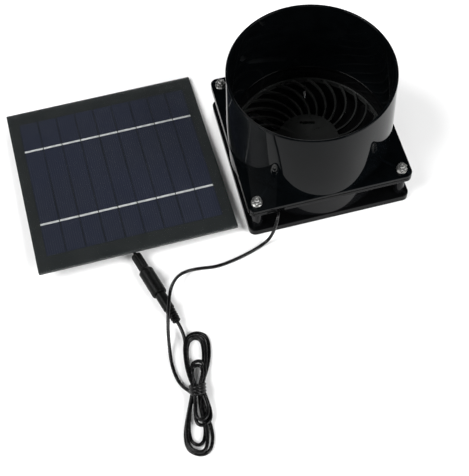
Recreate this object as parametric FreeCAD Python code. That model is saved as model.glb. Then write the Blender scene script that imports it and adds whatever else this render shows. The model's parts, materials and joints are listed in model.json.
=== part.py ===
"""Solar attic fan: a square axial fan with a round duct collar, and the small panel that runs it.

The row frame has its origin on the floor, under the middle of the fan and panel together.
+X runs from the panel to the fan, +Y away from the lead's side, and +Z is up.
All sizes are in millimetres.
"""

import FreeCAD, Part
import math
import os

V = FreeCAD.Vector
UP = V(0, 0, 1)
PAST = 1.0                         # how far a cutting tool runs past a face
SAME = 0.01                        # heights this close are one level

# Fan unit ---------------------------------------------------------------------------------
FAN_CENTRE = V(97.5, -19.5, 0)     # the fan's axis on the floor
FAN_SIDE = 150.0                   # outside of the square flanges
FAN_CORNER_R = 6.0
BOLT_PITCH = 132.7                 # between the corner bolts
BOLT_HOLE_R = 2.7

FRAME_HEIGHT = 37.5
BOTTOM_FLANGE_T = 8.0
TOP_FLANGE_T = 5.0
BORE_R = 71.5
LEDGE_R = 70.6                     # the bore below the guard
BARREL_R = 74.2
LEDGE_Z = 15.0
POST_R = 5.0                       # corner posts between the flanges
HEAD_POCKET_R = 5.4
HEAD_POCKET_DEPTH = 4.2
NOTCH_W = 7.0                      # cable notch in the top flange
NOTCH_DEPTH = 3.0

PLATE_T = 3.8
PLATE_TOP = FRAME_HEIGHT + PLATE_T
COLLAR_BASE_R = 74.8
COLLAR_TOP_R = 73.0
COLLAR_LAND = 24.0                 # the straight lowest part of the collar
COLLAR_TOP = 122.7
COLLAR_WALL = 2.3
SPIGOT_R = 74.0                    # foot of the collar, let into the plate
RIM_ROUND = 0.7

# Spiral guard -----------------------------------------------------------------------------
RIB_COUNT = 28
RIB_WIDTH = 1.9
RIB_BOTTOM = 16.8
GUARD_TOP = 20.0
GUARD_RING_R = 71.4
GUARD_RING_INNER_R = 69.8
GUARD_RING_TOP = 21.0
HUB_R = 29.0
HUB_DISC_T = 2.5
HUB_SKIRT_T = 1.7
HUB_SKIRT_BOTTOM = 15.5
RIB_START_DEG = 3.9                # where the first rib crosses the middle radius
RIB_MID_R = 50.0
RIB_ROOT_TURN_DEG = -10.3          # turn of the rib at the hub, from its middle
RIB_TIP_TURN_DEG = 18.9            # turn of the rib at the ring, from its middle
RIB_INTO_HUB = 0.5                 # overlap that joins a rib to the hub and to the ring
RIB_INTO_RING = 0.8
LEAD_GAP_W = 2.6                   # gap in the hub's skirt for the pair of wires
LEAD_GAP_L = 6.0
WIRE_SLOT = (4.8, 18.5)            # centre of the slot in the motor base
WIRE_SLOT_L = 15.0
WIRE_SLOT_W = 3.0
WIRE_SLOT_DEG = -15.5

# Motor ------------------------------------------------------------------------------------
SHAFT_R = 1.5
SHAFT_BOTTOM = 2.6
SHAFT_TOP = 16.8
RUNNING_GAP = 0.04
TUBE_R = 4.0
TUBE_BORE_R = 3.0
TUBE_BOTTOM = 5.0
TUBE_TOP = 19.2
BEARING_BOTTOM = 5.4
BEARING_TOP = 15.0
CLIP_BOTTOM = 15.3
CLIP_T = 0.5
CLIP_R = 2.6
CLIP_GROOVE_R = 1.1
SHAFT_CHAMFER = 0.2
WASHER_R = 2.9
CORE_BOTTOM = 7.0
CORE_TOP = 12.0
CORE_HUB_R = 8.0
CORE_R = 23.6
POLE_COUNT = 6
POLE_NECK_W = 5.0
POLE_SHOE_INNER_R = 21.2
POLE_SHOE_DEG = 46.0
POLE_INTO_HUB = 1.0                # overlap that joins a pole's neck to the hub and the shoe
POLE_INTO_SHOE = 0.5
INSULATION = 0.8
SLEEVE_START_R = 9.2
COIL_SIDE_T = 1.7
COIL_END_T = 0.8
COIL_CORNER_R = 1.2
COIL_START_R = 10.8
COIL_END_R = 20.2
PCB_BOTTOM = 14.3
PCB_T = 1.0
PCB_R = 23.0
PCB_HOLE_R = 4.2
# Parts on top of the board, as x, y, length, width and height
TOP_PARTS = {
    "driver_chip": (9.0, -6.0, 5.0, 4.0, 1.4),
    "capacitor": (-13.0, 5.0, 3.2, 1.6, 1.2),
    "diode": (-10.0, -12.0, 3.6, 1.8, 1.3),
    "first_resistor": (8.0, 3.0, 2.0, 1.2, 0.6),
    "second_resistor": (8.0, 5.4, 2.0, 1.2, 0.6),
    "third_resistor": (8.0, 7.8, 2.0, 1.2, 0.6),
}
SENSOR = (-1.5, -22.0, 3.0, 1.6, 0.6)   # under the board, beside the magnet

YOKE_BOTTOM = 3.6
YOKE_FLOOR_T = 1.0
YOKE_TOP = 13.9
YOKE_R = 28.2
YOKE_WALL = 1.2
MAGNET_R = YOKE_R - YOKE_WALL
MAGNET_INNER_R = 24.4
MAGNET_TOP = 13.4

# Impeller ---------------------------------------------------------------------------------
IMPELLER_BOTTOM = 2.2
IMPELLER_TOP = 14.1
IMPELLER_HUB_R = 30.0
BLADE_COUNT = 7
BLADE_TIP_R = 69.6
BLADE_T = 1.8
ROOT_CHORD = 28.6
ROOT_PITCH_DEG = 21.0
TIP_CHORD = 67.0
TIP_PITCH_DEG = 8.5
BLADE_MID_Z = 8.0
BLADE_START_R = 27.0               # the blade is drawn past its root and tip, then trimmed
BLADE_END_R = 73.6
BLADE_INTO_HUB = 1.0
IMPELLER_EDGE_R = 1.0

# Fasteners: M5 ----------------------------------------------------------------------------
BOLT_R = 2.5
BOLT_HEAD_R = 4.6
BOLT_HEAD_T = 3.2
WASHER_OUTER_R = 5.0
WASHER_T = 1.0
NUT_FLATS = 8.0
NUT_T = 4.0
BOLT_PROUD = 1.4                   # bolt end above the nut
BOLT_END_CHAMFER = 0.5
BOLT_HEAD_ROUND = 1.2
DRIVE_L = 5.0                      # cross slot in the head
DRIVE_W = 1.0
DRIVE_DEPTH = 1.2
WASHER_PLAY = 0.15
NUT_EDGE_IN = 0.4                  # the nut's corners are turned off at both faces
NUT_EDGE_OUT = 0.3
NUT_EDGE_H = 0.6
NUT_TURNS = (12, 41, 5, 27)        # degrees, at each corner

# Lead -------------------------------------------------------------------------------------
CORD_D = 3.0
CORD_R = CORD_D / 2
CORD_ARC_SHARE = 0.45
GLAND_X = -47.0                    # from the fan's axis
GLAND_Z = 29.6
GLAND_IN = -51.0
GLAND_OUT = -66.0
GLAND_R = 3.2
GLAND_TIP_R = 2.3
GLAND_COLLAR_R = 4.4
GLAND_COLLAR_Y = -58.5
GLAND_COLLAR_T = 3.5
LEAD_JACKET_R = 1.0                # the pair inside the fan
LEAD_Z = 15.6
LEAD_DEG = 226.3                   # direction of the pair, between two ribs
LEAD_START_R = 23.1
LEAD_RISE_R = 64.0
LEAD_RISE_Y = -46.5
LEAD_END_Y = -57.0

FAN_CORD_ROUTE = [
    (50.5, -85.5, 29.6), (49.3, -92.5, 29.8), (46.0, -99.8, 28.0), (42.7, -103.3, 20.3),
    (40.3, -103.7, 11.2), (36.0, -104.7, 3.9), (28.0, -107.5, 1.6), (14.5, -112.1, 1.6),
    (-1.5, -115.7, 1.6), (-15.5, -117.3, 1.6), (-28.5, -115.1, 1.6), (-40.5, -115.3, 3.2),
    (-50.3, -120.3, 7.6), (-57.1, -130.1, 13.0), (-61.4, -140.8, 17.2), (-66.5, -158.5, 17.2),
    (-69.9, -171.0, 11.0), (-71.8, -182.5, 4.4), (-73.3, -194.5, 1.7), (-72.8, -207.5, 1.6),
    (-70.0, -218.8, 2.4), (-64.0, -227.0, 4.6),
]
PLUG_LEAD_ROUTE = [
    (-60.15, -163.6, 6.8), (-58.3, -170.3, 6.3), (-57.6, -177.3, 4.7), (-57.9, -182.3, 3.8),
]
PANEL_CORD_ROUTE = [(-85.99, -60.0, 6.54), (-85.42, -78.3, 7.15), (-80.6, -94.56, 6.8)]

# Hank: its waist is the middle, and it lies along HANK_DEG
HANK_WAIST = V(-56.9, -224.9, 0)
HANK_DEG = -101.0                  # from +X to the lower loop
HANK_HEIGHT = 8.0
UPPER_LOOP = (-40.4, 11.8)         # distance from the waist, radius
LOWER_LOOP = (45.8, 13.0)
WAIST_HALF = 6.2
TIE_HALF = 7.8
TIE_START = -4.4
TIE_END = 9.4
TIE_HEIGHT = 14.8
TIE_ROUND = 5.0

# Connector: its mouth, and the way the plug leaves it --------------------------------------
MOUTH = V(-69.1, -133.4, 6.8)
CONNECTOR_DEG = -73.5
SOCKET_R = 6.7
SOCKET_LENGTH = 28.0
SOCKET_NECK_R = 4.45
SOCKET_NECK_LENGTH = 17.0
SOCKET_SHOULDER = 1.5
SOCKET_CHAMFER = 0.8
SOCKET_BORE_R = 3.2
SOCKET_DEPTH = 11.0
SOCKET_CORD_DEPTH = 5.5            # how far the cord goes into the neck
CONTACT_R = 2.8
PIN_R = 1.0
PIN_LENGTH = 9.0
PIN_ROOT = 3.0                     # how far the pin is moulded in
PIN_TIP_R = 0.6
CONTACT_SET_BACK = 0.5
PLUG_R = 4.9
PLUG_LENGTH = 17.5
RELIEF_LENGTH = 14.0
RELIEF_START_R = 4.4
RELIEF_END_R = 3.7
RELIEF_GROOVE_R = 2.9
RELIEF_RIBS = 5
RELIEF_FIRST = 0.9                 # from the grip's end to the first rib
RELIEF_RIB_SHARE = 0.62            # of a rib's pitch that is rib
RELIEF_TAIL = 1.0
GRIP_EDGE = 0.6
GRIP_END_CHAMFER = 1.0
RELIEF_CORE_IN = 0.5                # overlap that joins the relief's core to the grip
RELIEF_CORD_DEPTH = 1.0
INSULATOR_SET_BACK = 0.3
BARREL_LENGTH = 9.5
BARREL_ROOT = 5.0
PLUG_BARREL_R = 2.75
PLUG_INSULATOR_R = 2.2
PLUG_CONTACT_R = 1.6
PLUG_BORE_R = 1.06

# Panel ------------------------------------------------------------------------------------
PANEL_CENTRE = V(-79.75, 1.15, 10.35)   # middle of the front face
PANEL_YAW_DEG = 1.39
PANEL_SIDE_TILT_DEG = 1.77
PANEL_NEAR_TILT_DEG = -2.83
PANEL_W = 181.2
PANEL_H = 182.3
PANEL_CORNER_R = 1.0
BOARD_BOTTOM = -3.0
BOARD_TOP = -0.8
CELL_COUNT = 9
CELL_PITCH = 17.95
CELL_W = 17.3
CELL_H = 152.0
CELL_T = 0.25
CELL_Y = 1.0
RIBBON_W = 2.0
RIBBON_T = 0.15
RIBBON_L = 17.1
RIBBON_Y = (43.6, -41.0)

BOX_CENTRE = (-7.5, -42.5)
BOX_W = 59.0
BOX_H = 45.0
BOX_DEPTH = 7.4
BOX_WALL = 2.0
BOX_LID_T = 1.4
BOX_ROOF_T = 0.8
BOX_CORD_REACH = 6.0               # how far the cord's hole runs each side of the wall
BOX_CORNER_R = 3.0
BOX_GLAND_LENGTH = 3.2
BOX_GLAND_R = 2.8
BOX_GLAND_TIP_R = 1.9
BOX_GLAND_Z = -7.05
BOX_GLAND_X = -7.6
TAB_W = 5.0
TAB_L = 12.0
TAB_T = 1.0
TAB_X = (-20.0, 5.0)
DIODE_R = 1.3
DIODE_L = 5.2
DIODE_WIRE_R = 0.4


def export(shape, node, at=None):
    """Write one node, moved by a placement when one is given."""
    placed = shape.copy()
    if at is not None:
        placed.Placement = at.multiply(placed.Placement)
    placed.exportStep("parts/" + node + ".step")


def rod(radius, bottom, top, x=0.0, y=0.0):
    return Part.makeCylinder(radius, top - bottom, V(x, y, bottom))


def tube(outer, inner, bottom, top, x=0.0, y=0.0):
    return rod(outer, bottom, top, x, y).cut(rod(inner, bottom - PAST, top + PAST, x, y))


def rounded_box(width, depth, radius, bottom, top):
    """A box centred on the Z axis with its upright edges rounded."""
    box = Part.makeBox(width, depth, top - bottom, V(-width / 2, -depth / 2, bottom))
    upright = [e for e in box.Edges if abs(e.Vertexes[0].Z - e.Vertexes[1].Z) > 1e-6]
    return box.makeFillet(radius, upright)


def turned(shape, degrees):
    copy = shape.copy()
    copy.rotate(V(0, 0, 0), UP, degrees)
    return copy


def around(shape, count):
    """Equally spaced copies round the Z axis."""
    return [turned(shape, 360.0 * i / count) for i in range(count)]


def fused(shapes):
    return shapes[0].multiFuse(shapes[1:]).removeSplitter()


def revolved(points, axis_start=V(0, 0, 0), axis=UP):
    """A solid turned from (radius, height) points about the Z axis."""
    corners = [V(r, 0, z) for r, z in points]
    wire = Part.makePolygon(corners + corners[:1])
    return Part.Face(wire).revolve(axis_start, axis, 360)


def at_corners():
    half = BOLT_PITCH / 2
    return [(x, y) for x in (-half, half) for y in (-half, half)]


def in_fan():
    return FreeCAD.Placement(FAN_CENTRE, FreeCAD.Rotation())


def in_panel():
    turn = FreeCAD.Rotation(PANEL_YAW_DEG, PANEL_SIDE_TILT_DEG, PANEL_NEAR_TILT_DEG)
    return FreeCAD.Placement(PANEL_CENTRE, turn)


def on_connector():
    """Local +Z runs out of the socket's mouth, along the plug."""
    lie_down = FreeCAD.Rotation(V(0, 1, 0), 90)
    aim = FreeCAD.Rotation(UP, CONNECTOR_DEG)
    return FreeCAD.Placement(MOUTH, aim.multiply(lie_down))


# Fan housing ------------------------------------------------------------------------------

def adapter_plate():
    """Square plate under the collar, bolted to the fan frame."""
    plate = rounded_box(FAN_SIDE, FAN_SIDE, FAN_CORNER_R, FRAME_HEIGHT, PLATE_TOP)
    plate = plate.cut(rod(SPIGOT_R, 0, COLLAR_TOP))
    for x, y in at_corners():
        plate = plate.cut(rod(BOLT_HOLE_R, 0, COLLAR_TOP, x, y))
    return plate


def collar_wall():
    """Tube a duct slides over: straight at the foot, then slightly tapered."""
    land_top = PLATE_TOP + COLLAR_LAND
    collar = revolved([
        (COLLAR_BASE_R - COLLAR_WALL, FRAME_HEIGHT),
        (SPIGOT_R, FRAME_HEIGHT),
        (SPIGOT_R, PLATE_TOP),
        (COLLAR_BASE_R, PLATE_TOP),
        (COLLAR_BASE_R, land_top),
        (COLLAR_TOP_R, COLLAR_TOP),
        (COLLAR_TOP_R - COLLAR_WALL, COLLAR_TOP),
        (COLLAR_BASE_R - COLLAR_WALL, land_top),
    ])
    rim = [e for e in collar.Edges if min(v.Z for v in e.Vertexes) > COLLAR_TOP - SAME]
    return collar.makeFillet(RIM_ROUND, rim)


def outward_rod(radius, start_y, end_y):
    """A cylinder along -Y on the gland's axis."""
    return Part.makeCylinder(radius, start_y - end_y, V(GLAND_X, start_y, GLAND_Z), V(0, -1, 0))


def frame_base():
    """Lower flange, with pockets for the bolt heads."""
    flange = rounded_box(FAN_SIDE, FAN_SIDE, FAN_CORNER_R, 0, BOTTOM_FLANGE_T)
    flange = flange.cut(rod(LEDGE_R, -PAST, BOTTOM_FLANGE_T + PAST))
    for x, y in at_corners():
        flange = flange.cut(rod(BOLT_HOLE_R, -PAST, BOTTOM_FLANGE_T + PAST, x, y))
        flange = flange.cut(rod(HEAD_POCKET_R, -PAST, HEAD_POCKET_DEPTH, x, y))
    return flange


def frame_top():
    """Upper flange, with a small notch above the cord."""
    bottom = FRAME_HEIGHT - TOP_FLANGE_T
    flange = rounded_box(FAN_SIDE, FAN_SIDE, FAN_CORNER_R, bottom, FRAME_HEIGHT)
    flange = flange.cut(rod(BORE_R, 0, FRAME_HEIGHT + PAST))
    for x, y in at_corners():
        flange = flange.cut(rod(BOLT_HOLE_R, 0, FRAME_HEIGHT + PAST, x, y))
    notch_start = V(GLAND_X - NOTCH_W / 2, -FAN_SIDE / 2 - PAST, bottom - PAST)
    notch = Part.makeBox(NOTCH_W, NOTCH_DEPTH + PAST, TOP_FLANGE_T + 2 * PAST, notch_start)
    return flange.cut(notch).cut(outward_rod(GLAND_R, GLAND_IN, GLAND_OUT))


def frame_barrel():
    """Round wall between the flanges, with the ledge the guard sits on."""
    top = FRAME_HEIGHT - TOP_FLANGE_T
    barrel = tube(BARREL_R, LEDGE_R, BOTTOM_FLANGE_T, top)
    barrel = barrel.cut(rod(BORE_R, LEDGE_Z, FRAME_HEIGHT))
    return barrel.cut(outward_rod(GLAND_R, GLAND_IN, GLAND_OUT))


def frame_posts():
    """Hollow posts at the corners, round the bolts."""
    top = FRAME_HEIGHT - TOP_FLANGE_T
    posts = [tube(POST_R, BOLT_HOLE_R, BOTTOM_FLANGE_T, top, x, y) for x, y in at_corners()]
    return Part.makeCompound(posts)


def rib_point(radius, turn_deg):
    angle = math.radians(RIB_START_DEG + turn_deg)
    return V(radius * math.cos(angle), radius * math.sin(angle), RIB_BOTTOM)


def guard_rib():
    """One swirled rib: a curved bar between two arcs with one centre."""
    root = rib_point(HUB_R - RIB_INTO_HUB, RIB_ROOT_TURN_DEG)
    middle = rib_point(RIB_MID_R, 0)
    tip = rib_point(GUARD_RING_INNER_R + RIB_INTO_RING, RIB_TIP_TURN_DEG)
    centre = Part.Arc(root, middle, tip).toShape().Curve.Center
    sides = []
    for offset in (-RIB_WIDTH / 2, RIB_WIDTH / 2):
        moved = [p + (p - centre).normalize() * offset for p in (root, middle, tip)]
        sides.append(moved)
    inner, outer = sides
    edges = [
        Part.Arc(*inner).toShape(),
        Part.LineSegment(inner[2], outer[2]).toShape(),
        Part.Arc(outer[2], outer[1], outer[0]).toShape(),
        Part.LineSegment(outer[0], inner[0]).toShape(),
    ]
    return Part.Face(Part.Wire(edges)).extrude(V(0, 0, GUARD_TOP - RIB_BOTTOM))


def slot_cutter():
    """The rounded slot through the motor base for the wires."""
    straight = WIRE_SLOT_L - WIRE_SLOT_W
    bottom = GUARD_TOP - HUB_DISC_T - PAST
    depth = HUB_DISC_T + 2 * PAST
    bar = Part.makeBox(straight, WIRE_SLOT_W, depth, V(-straight / 2, -WIRE_SLOT_W / 2, bottom))
    ends = [rod(WIRE_SLOT_W / 2, bottom, bottom + depth, x) for x in (-straight / 2, straight / 2)]
    slot = turned(fused([bar] + ends), WIRE_SLOT_DEG)
    slot.translate(V(WIRE_SLOT[0], WIRE_SLOT[1], 0))
    return slot


def spiral_guard():
    disc = rod(HUB_R, GUARD_TOP - HUB_DISC_T, GUARD_TOP)
    top_edge = [e for e in disc.Edges if min(v.Z for v in e.Vertexes) > GUARD_TOP - SAME]
    disc = disc.makeFillet(RIM_ROUND, top_edge)
    skirt = tube(HUB_R, HUB_R - HUB_SKIRT_T, HUB_SKIRT_BOTTOM, GUARD_TOP - HUB_DISC_T)
    ring = tube(GUARD_RING_R, GUARD_RING_INNER_R, LEDGE_Z, GUARD_RING_TOP)
    guard = fused([disc, skirt, ring] + around(guard_rib(), RIB_COUNT))
    guard = guard.cut(rod(TUBE_R, 0, GUARD_TOP + PAST))
    gap_h = RIB_BOTTOM - HUB_SKIRT_BOTTOM
    gap_start = V(HUB_R + 2 * PAST - LEAD_GAP_L, -LEAD_GAP_W / 2, HUB_SKIRT_BOTTOM)
    lead_gap = Part.makeBox(LEAD_GAP_L, LEAD_GAP_W, gap_h, gap_start)
    return guard.cut(slot_cutter()).cut(turned(lead_gap, LEAD_DEG))


def cable_gland(neighbours):
    """Bush in the barrel wall, with a tapered nose that the lead leaves."""
    collar_end = GLAND_COLLAR_Y - GLAND_COLLAR_T
    bush = outward_rod(GLAND_R, GLAND_IN, GLAND_COLLAR_Y)
    collar = outward_rod(GLAND_COLLAR_R, GLAND_COLLAR_Y, collar_end)
    nose_length = collar_end - GLAND_OUT
    nose = Part.makeCone(GLAND_R, GLAND_TIP_R, nose_length, V(GLAND_X, collar_end, GLAND_Z), V(0, -1, 0))
    bore = outward_rod(LEAD_JACKET_R, GLAND_IN, LEAD_END_Y)
    gland = fused([bush, collar, nose]).cut(bore)
    for neighbour in neighbours:
        gland = gland.cut(neighbour)
    return gland


# Motor ------------------------------------------------------------------------------------

def bearing_tube():
    return tube(TUBE_R, TUBE_BORE_R, TUBE_BOTTOM, TUBE_TOP)


def bearing_cap():
    return rod(TUBE_R, TUBE_TOP, GUARD_TOP)


def sleeve_bearing():
    return tube(TUBE_BORE_R, SHAFT_R + RUNNING_GAP, BEARING_BOTTOM, BEARING_TOP)


def thrust_washer():
    return tube(WASHER_R, SHAFT_R + RUNNING_GAP, TUBE_BOTTOM, BEARING_BOTTOM)


def shaft():
    groove = tube(SHAFT_R + PAST, CLIP_GROOVE_R, CLIP_BOTTOM, CLIP_BOTTOM + CLIP_T)
    body = rod(SHAFT_R, SHAFT_BOTTOM, SHAFT_TOP)
    ends = [e for e in body.Edges if len(e.Vertexes) == 1]
    return body.makeChamfer(SHAFT_CHAMFER, ends).cut(groove)


def retaining_clip():
    ring = tube(CLIP_R, CLIP_GROOVE_R, CLIP_BOTTOM, CLIP_BOTTOM + CLIP_T)
    mouth_start = V(0, -CLIP_GROOVE_R / 2, CLIP_BOTTOM - PAST)
    mouth = Part.makeBox(CLIP_R + PAST, CLIP_GROOVE_R, CLIP_T + 2 * PAST, mouth_start)
    return ring.cut(mouth)


def pole_outline(extra):
    """One stator pole, with extra thickness all round for its insulator."""
    neck_w = POLE_NECK_W + 2 * extra
    height = CORE_TOP - CORE_BOTTOM + 2 * extra
    start = V(CORE_HUB_R - POLE_INTO_HUB, -neck_w / 2, CORE_BOTTOM - extra)
    length = POLE_SHOE_INNER_R + POLE_INTO_SHOE - start.x
    return Part.makeBox(length, neck_w, height, start)


def pole_shoe():
    ring = tube(CORE_R, POLE_SHOE_INNER_R, CORE_BOTTOM, CORE_TOP)
    half = math.radians(POLE_SHOE_DEG / 2)
    reach = 2 * CORE_R
    wedge_points = [V(0, 0, CORE_BOTTOM), V(reach, -reach * math.tan(half), CORE_BOTTOM),
                    V(reach, reach * math.tan(half), CORE_BOTTOM)]
    wedge = Part.Face(Part.makePolygon(wedge_points + wedge_points[:1]))
    return ring.common(wedge.extrude(V(0, 0, CORE_TOP - CORE_BOTTOM)))


def stator_core():
    hub = rod(CORE_HUB_R, CORE_BOTTOM, CORE_TOP)
    poles = around(pole_outline(0.0), POLE_COUNT) + around(pole_shoe(), POLE_COUNT)
    return fused([hub] + poles).cut(rod(TUBE_R, 0, CORE_TOP + PAST))


def stator_insulator(core):
    """The plastic sleeve round each pole neck."""
    sleeve = pole_outline(INSULATION)
    keep = Part.makeBox(COIL_END_R, 2 * CORE_R, PCB_BOTTOM, V(SLEEVE_START_R, -CORE_R, 0))
    sleeves = Part.makeCompound(around(sleeve.common(keep), POLE_COUNT))
    return sleeves.cut(core)


def stator_coils():
    """A wound coil on each pole, as one solid ring of wire."""
    length = COIL_END_R - COIL_START_R
    outer_w = POLE_NECK_W + 2 * (INSULATION + COIL_SIDE_T)
    above = INSULATION + COIL_END_T
    outer_h = CORE_TOP - CORE_BOTTOM + 2 * above
    coil = Part.makeBox(length, outer_w, outer_h, V(COIL_START_R, -outer_w / 2, CORE_BOTTOM - above))
    long_edges = [e for e in coil.Edges if abs(e.Vertexes[0].X - e.Vertexes[1].X) > PAST]
    coil = coil.makeFillet(COIL_CORNER_R, long_edges)
    coil = coil.cut(pole_outline(INSULATION))
    return Part.makeCompound(around(coil, POLE_COUNT))


def motor_pcb():
    return tube(PCB_R, PCB_HOLE_R, PCB_BOTTOM, PCB_BOTTOM + PCB_T)


def pcb_components():
    """Driver chip, capacitor, diode and resistors on the board, and the sensor under it."""
    top = PCB_BOTTOM + PCB_T
    parts = []
    for x, y, length, width, height in TOP_PARTS.values():
        parts.append(Part.makeBox(length, width, height, V(x, y, top)))
    x, y, length, width, height = SENSOR
    parts.append(Part.makeBox(length, width, height, V(x, y, PCB_BOTTOM - height)))
    return Part.makeCompound(parts)


def rotor_yoke():
    cup = rod(YOKE_R, YOKE_BOTTOM, YOKE_TOP)
    cup = cup.cut(rod(MAGNET_R, YOKE_BOTTOM + YOKE_FLOOR_T, YOKE_TOP + PAST))
    return cup.cut(rod(SHAFT_R, 0, YOKE_TOP))


def magnet_ring():
    return tube(MAGNET_R, MAGNET_INNER_R, YOKE_BOTTOM + YOKE_FLOOR_T, MAGNET_TOP)


def blade_section(radius, chord, pitch_deg):
    """A pitched rectangle, square to the radius at the given distance."""
    pitch = math.radians(pitch_deg)
    along = V(0, math.cos(pitch), math.sin(pitch)) * (chord / 2)
    across = V(0, -math.sin(pitch), math.cos(pitch)) * (BLADE_T / 2)
    middle = V(radius, 0, BLADE_MID_Z)
    corners = [middle - along - across, middle + along - across,
               middle + along + across, middle - along + across]
    return Part.makePolygon(corners + corners[:1])


def impeller():
    sections = [
        blade_section(BLADE_START_R, ROOT_CHORD, ROOT_PITCH_DEG),
        blade_section(BLADE_END_R, TIP_CHORD, TIP_PITCH_DEG),
    ]
    blade = Part.makeLoft(sections, True, True)
    swept = tube(BLADE_TIP_R, IMPELLER_HUB_R - BLADE_INTO_HUB, IMPELLER_BOTTOM, IMPELLER_TOP)
    blades = [b.common(swept) for b in around(blade, BLADE_COUNT)]
    hub = rod(IMPELLER_HUB_R, IMPELLER_BOTTOM, IMPELLER_TOP)
    low_edge = [e for e in hub.Edges if max(v.Z for v in e.Vertexes) < IMPELLER_BOTTOM + SAME]
    hub = hub.makeFillet(IMPELLER_EDGE_R, low_edge)
    body = fused([hub] + blades)
    body = body.cut(rod(YOKE_R, YOKE_BOTTOM, IMPELLER_TOP + PAST))
    return body.cut(rod(SHAFT_R, SHAFT_BOTTOM, IMPELLER_TOP))


def motor_lead_route():
    """From the board's edge, under the guard, up between two ribs and into the gland."""
    angle = math.radians(LEAD_DEG)
    outward = V(math.cos(angle), math.sin(angle), 0)
    lift = V(0, 0, LEAD_Z)
    return [
        outward * LEAD_START_R + lift,
        outward * LEAD_RISE_R + lift,
        V(GLAND_X, LEAD_RISE_Y, GLAND_Z),
        V(GLAND_X, LEAD_END_Y, GLAND_Z),
    ]


# Fasteners --------------------------------------------------------------------------------

def corner_bolt():
    """Round-headed bolt, standing head down in its pocket."""
    end_z = PLATE_TOP + WASHER_T + NUT_T + BOLT_PROUD
    head_top = HEAD_POCKET_DEPTH
    head_bottom = head_top - BOLT_HEAD_T
    shank = rod(BOLT_R, head_top, end_z)
    end = [e for e in shank.Edges if min(v.Z for v in e.Vertexes) > end_z - SAME]
    shank = shank.makeChamfer(BOLT_END_CHAMFER, end)
    head = rod(BOLT_HEAD_R, head_bottom, head_top)
    low = [e for e in head.Edges if max(v.Z for v in e.Vertexes) < head_bottom + SAME]
    head = head.makeFillet(BOLT_HEAD_ROUND, low)
    drive_start = V(-DRIVE_L / 2, -DRIVE_W / 2, head_bottom - PAST)
    drive = Part.makeBox(DRIVE_L, DRIVE_W, DRIVE_DEPTH + PAST, drive_start)
    return fused([shank, head]).cut(drive).cut(turned(drive, 90))


def corner_washer():
    return tube(WASHER_OUTER_R, BOLT_R + WASHER_PLAY, PLATE_TOP, PLATE_TOP + WASHER_T)


def corner_nut():
    """Hexagon nut with its corners turned off at both faces."""
    bottom = PLATE_TOP + WASHER_T
    top = bottom + NUT_T
    corner_r = NUT_FLATS / math.sqrt(3)
    turns = [math.radians(60 * i) for i in range(6)]
    corners = [V(corner_r * math.cos(t), corner_r * math.sin(t), bottom) for t in turns]
    prism = Part.Face(Part.makePolygon(corners + corners[:1])).extrude(V(0, 0, NUT_T))
    face_r = corner_r - NUT_EDGE_IN
    middle_r = corner_r + NUT_EDGE_OUT
    rounding = revolved([
        (0, bottom - SAME), (face_r, bottom - SAME), (middle_r, bottom + NUT_EDGE_H),
        (middle_r, top - NUT_EDGE_H), (face_r, top), (0, top),
    ])
    return prism.common(rounding).cut(rod(BOLT_R, 0, top + PAST))


def four(piece, turns=(0, 0, 0, 0)):
    """The same fastener at each corner, each turned as it was left."""
    placed = []
    for (x, y), degrees in zip(at_corners(), turns):
        copy = turned(piece, degrees)
        copy.translate(V(x, y, 0))
        placed.append(copy)
    return Part.makeCompound(placed)


# Lead -------------------------------------------------------------------------------------

def route_tube(points, radius, name, share=CORD_ARC_SHARE):
    """A round cord along straight runs joined by tangent arcs."""
    points = [V(*p) for p in points]
    edges = []
    start = points[0]
    radii = []
    for before, corner, after in zip(points, points[1:], points[2:]):
        come = (corner - before).normalize()
        leave = (after - corner).normalize()
        turn = come.getAngle(leave)
        cut = share * min((corner - before).Length, (after - corner).Length)
        arc_r = cut / math.tan(turn / 2)
        radii.append(arc_r)
        enter = corner - come * cut
        out = corner + leave * cut
        towards = (leave - come).normalize()
        middle = corner + towards * (arc_r / math.cos(turn / 2) - arc_r)
        edges.append(Part.LineSegment(start, enter).toShape())
        edges.append(Part.Arc(enter, middle, out).toShape())
        start = out
    edges.append(Part.LineSegment(start, points[-1]).toShape())
    path = Part.Wire(edges)
    first = (points[1] - points[0]).normalize()
    section = Part.Wire(Part.makeCircle(radius, points[0], first))
    solid = path.makePipeShell([section], True, True, 2)
    expected = math.pi * radius ** 2 * path.Length
    print(f"{name}: length {path.Length:.1f} mm, volume ratio {solid.Volume / expected:.4f}")
    print("   arc radii " + " ".join(f"{r:.1f}" for r in radii))
    return solid


def loop_shape(reach, radius):
    """One flat loop of the hank, from its waist to its round end."""
    end = Part.makeCylinder(radius, HANK_HEIGHT, V(reach, 0, 0))
    spread = math.copysign(1.0, reach)
    corners = [
        V(-spread, -WAIST_HALF, 0), V(reach, -radius, 0), V(reach, radius, 0), V(-spread, WAIST_HALF, 0),
    ]
    flat = Part.Face(Part.makePolygon(corners + corners[:1]))
    return end.fuse(flat.extrude(V(0, 0, HANK_HEIGHT)))


def cord_hank():
    """The outer shape of the wound lead: two flat loops and the tie round their waist."""
    tie = Part.makeBox(TIE_END - TIE_START, 2 * TIE_HALF, TIE_HEIGHT, V(TIE_START, -TIE_HALF, 0))
    along = [e for e in tie.Edges if abs(e.Vertexes[0].X - e.Vertexes[1].X) > PAST]
    tie = tie.makeFillet(TIE_ROUND, along)
    hank = fused([loop_shape(*UPPER_LOOP), loop_shape(*LOWER_LOOP), tie])
    hank.rotate(V(0, 0, 0), UP, HANK_DEG)
    hank.translate(HANK_WAIST)
    return hank


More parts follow.
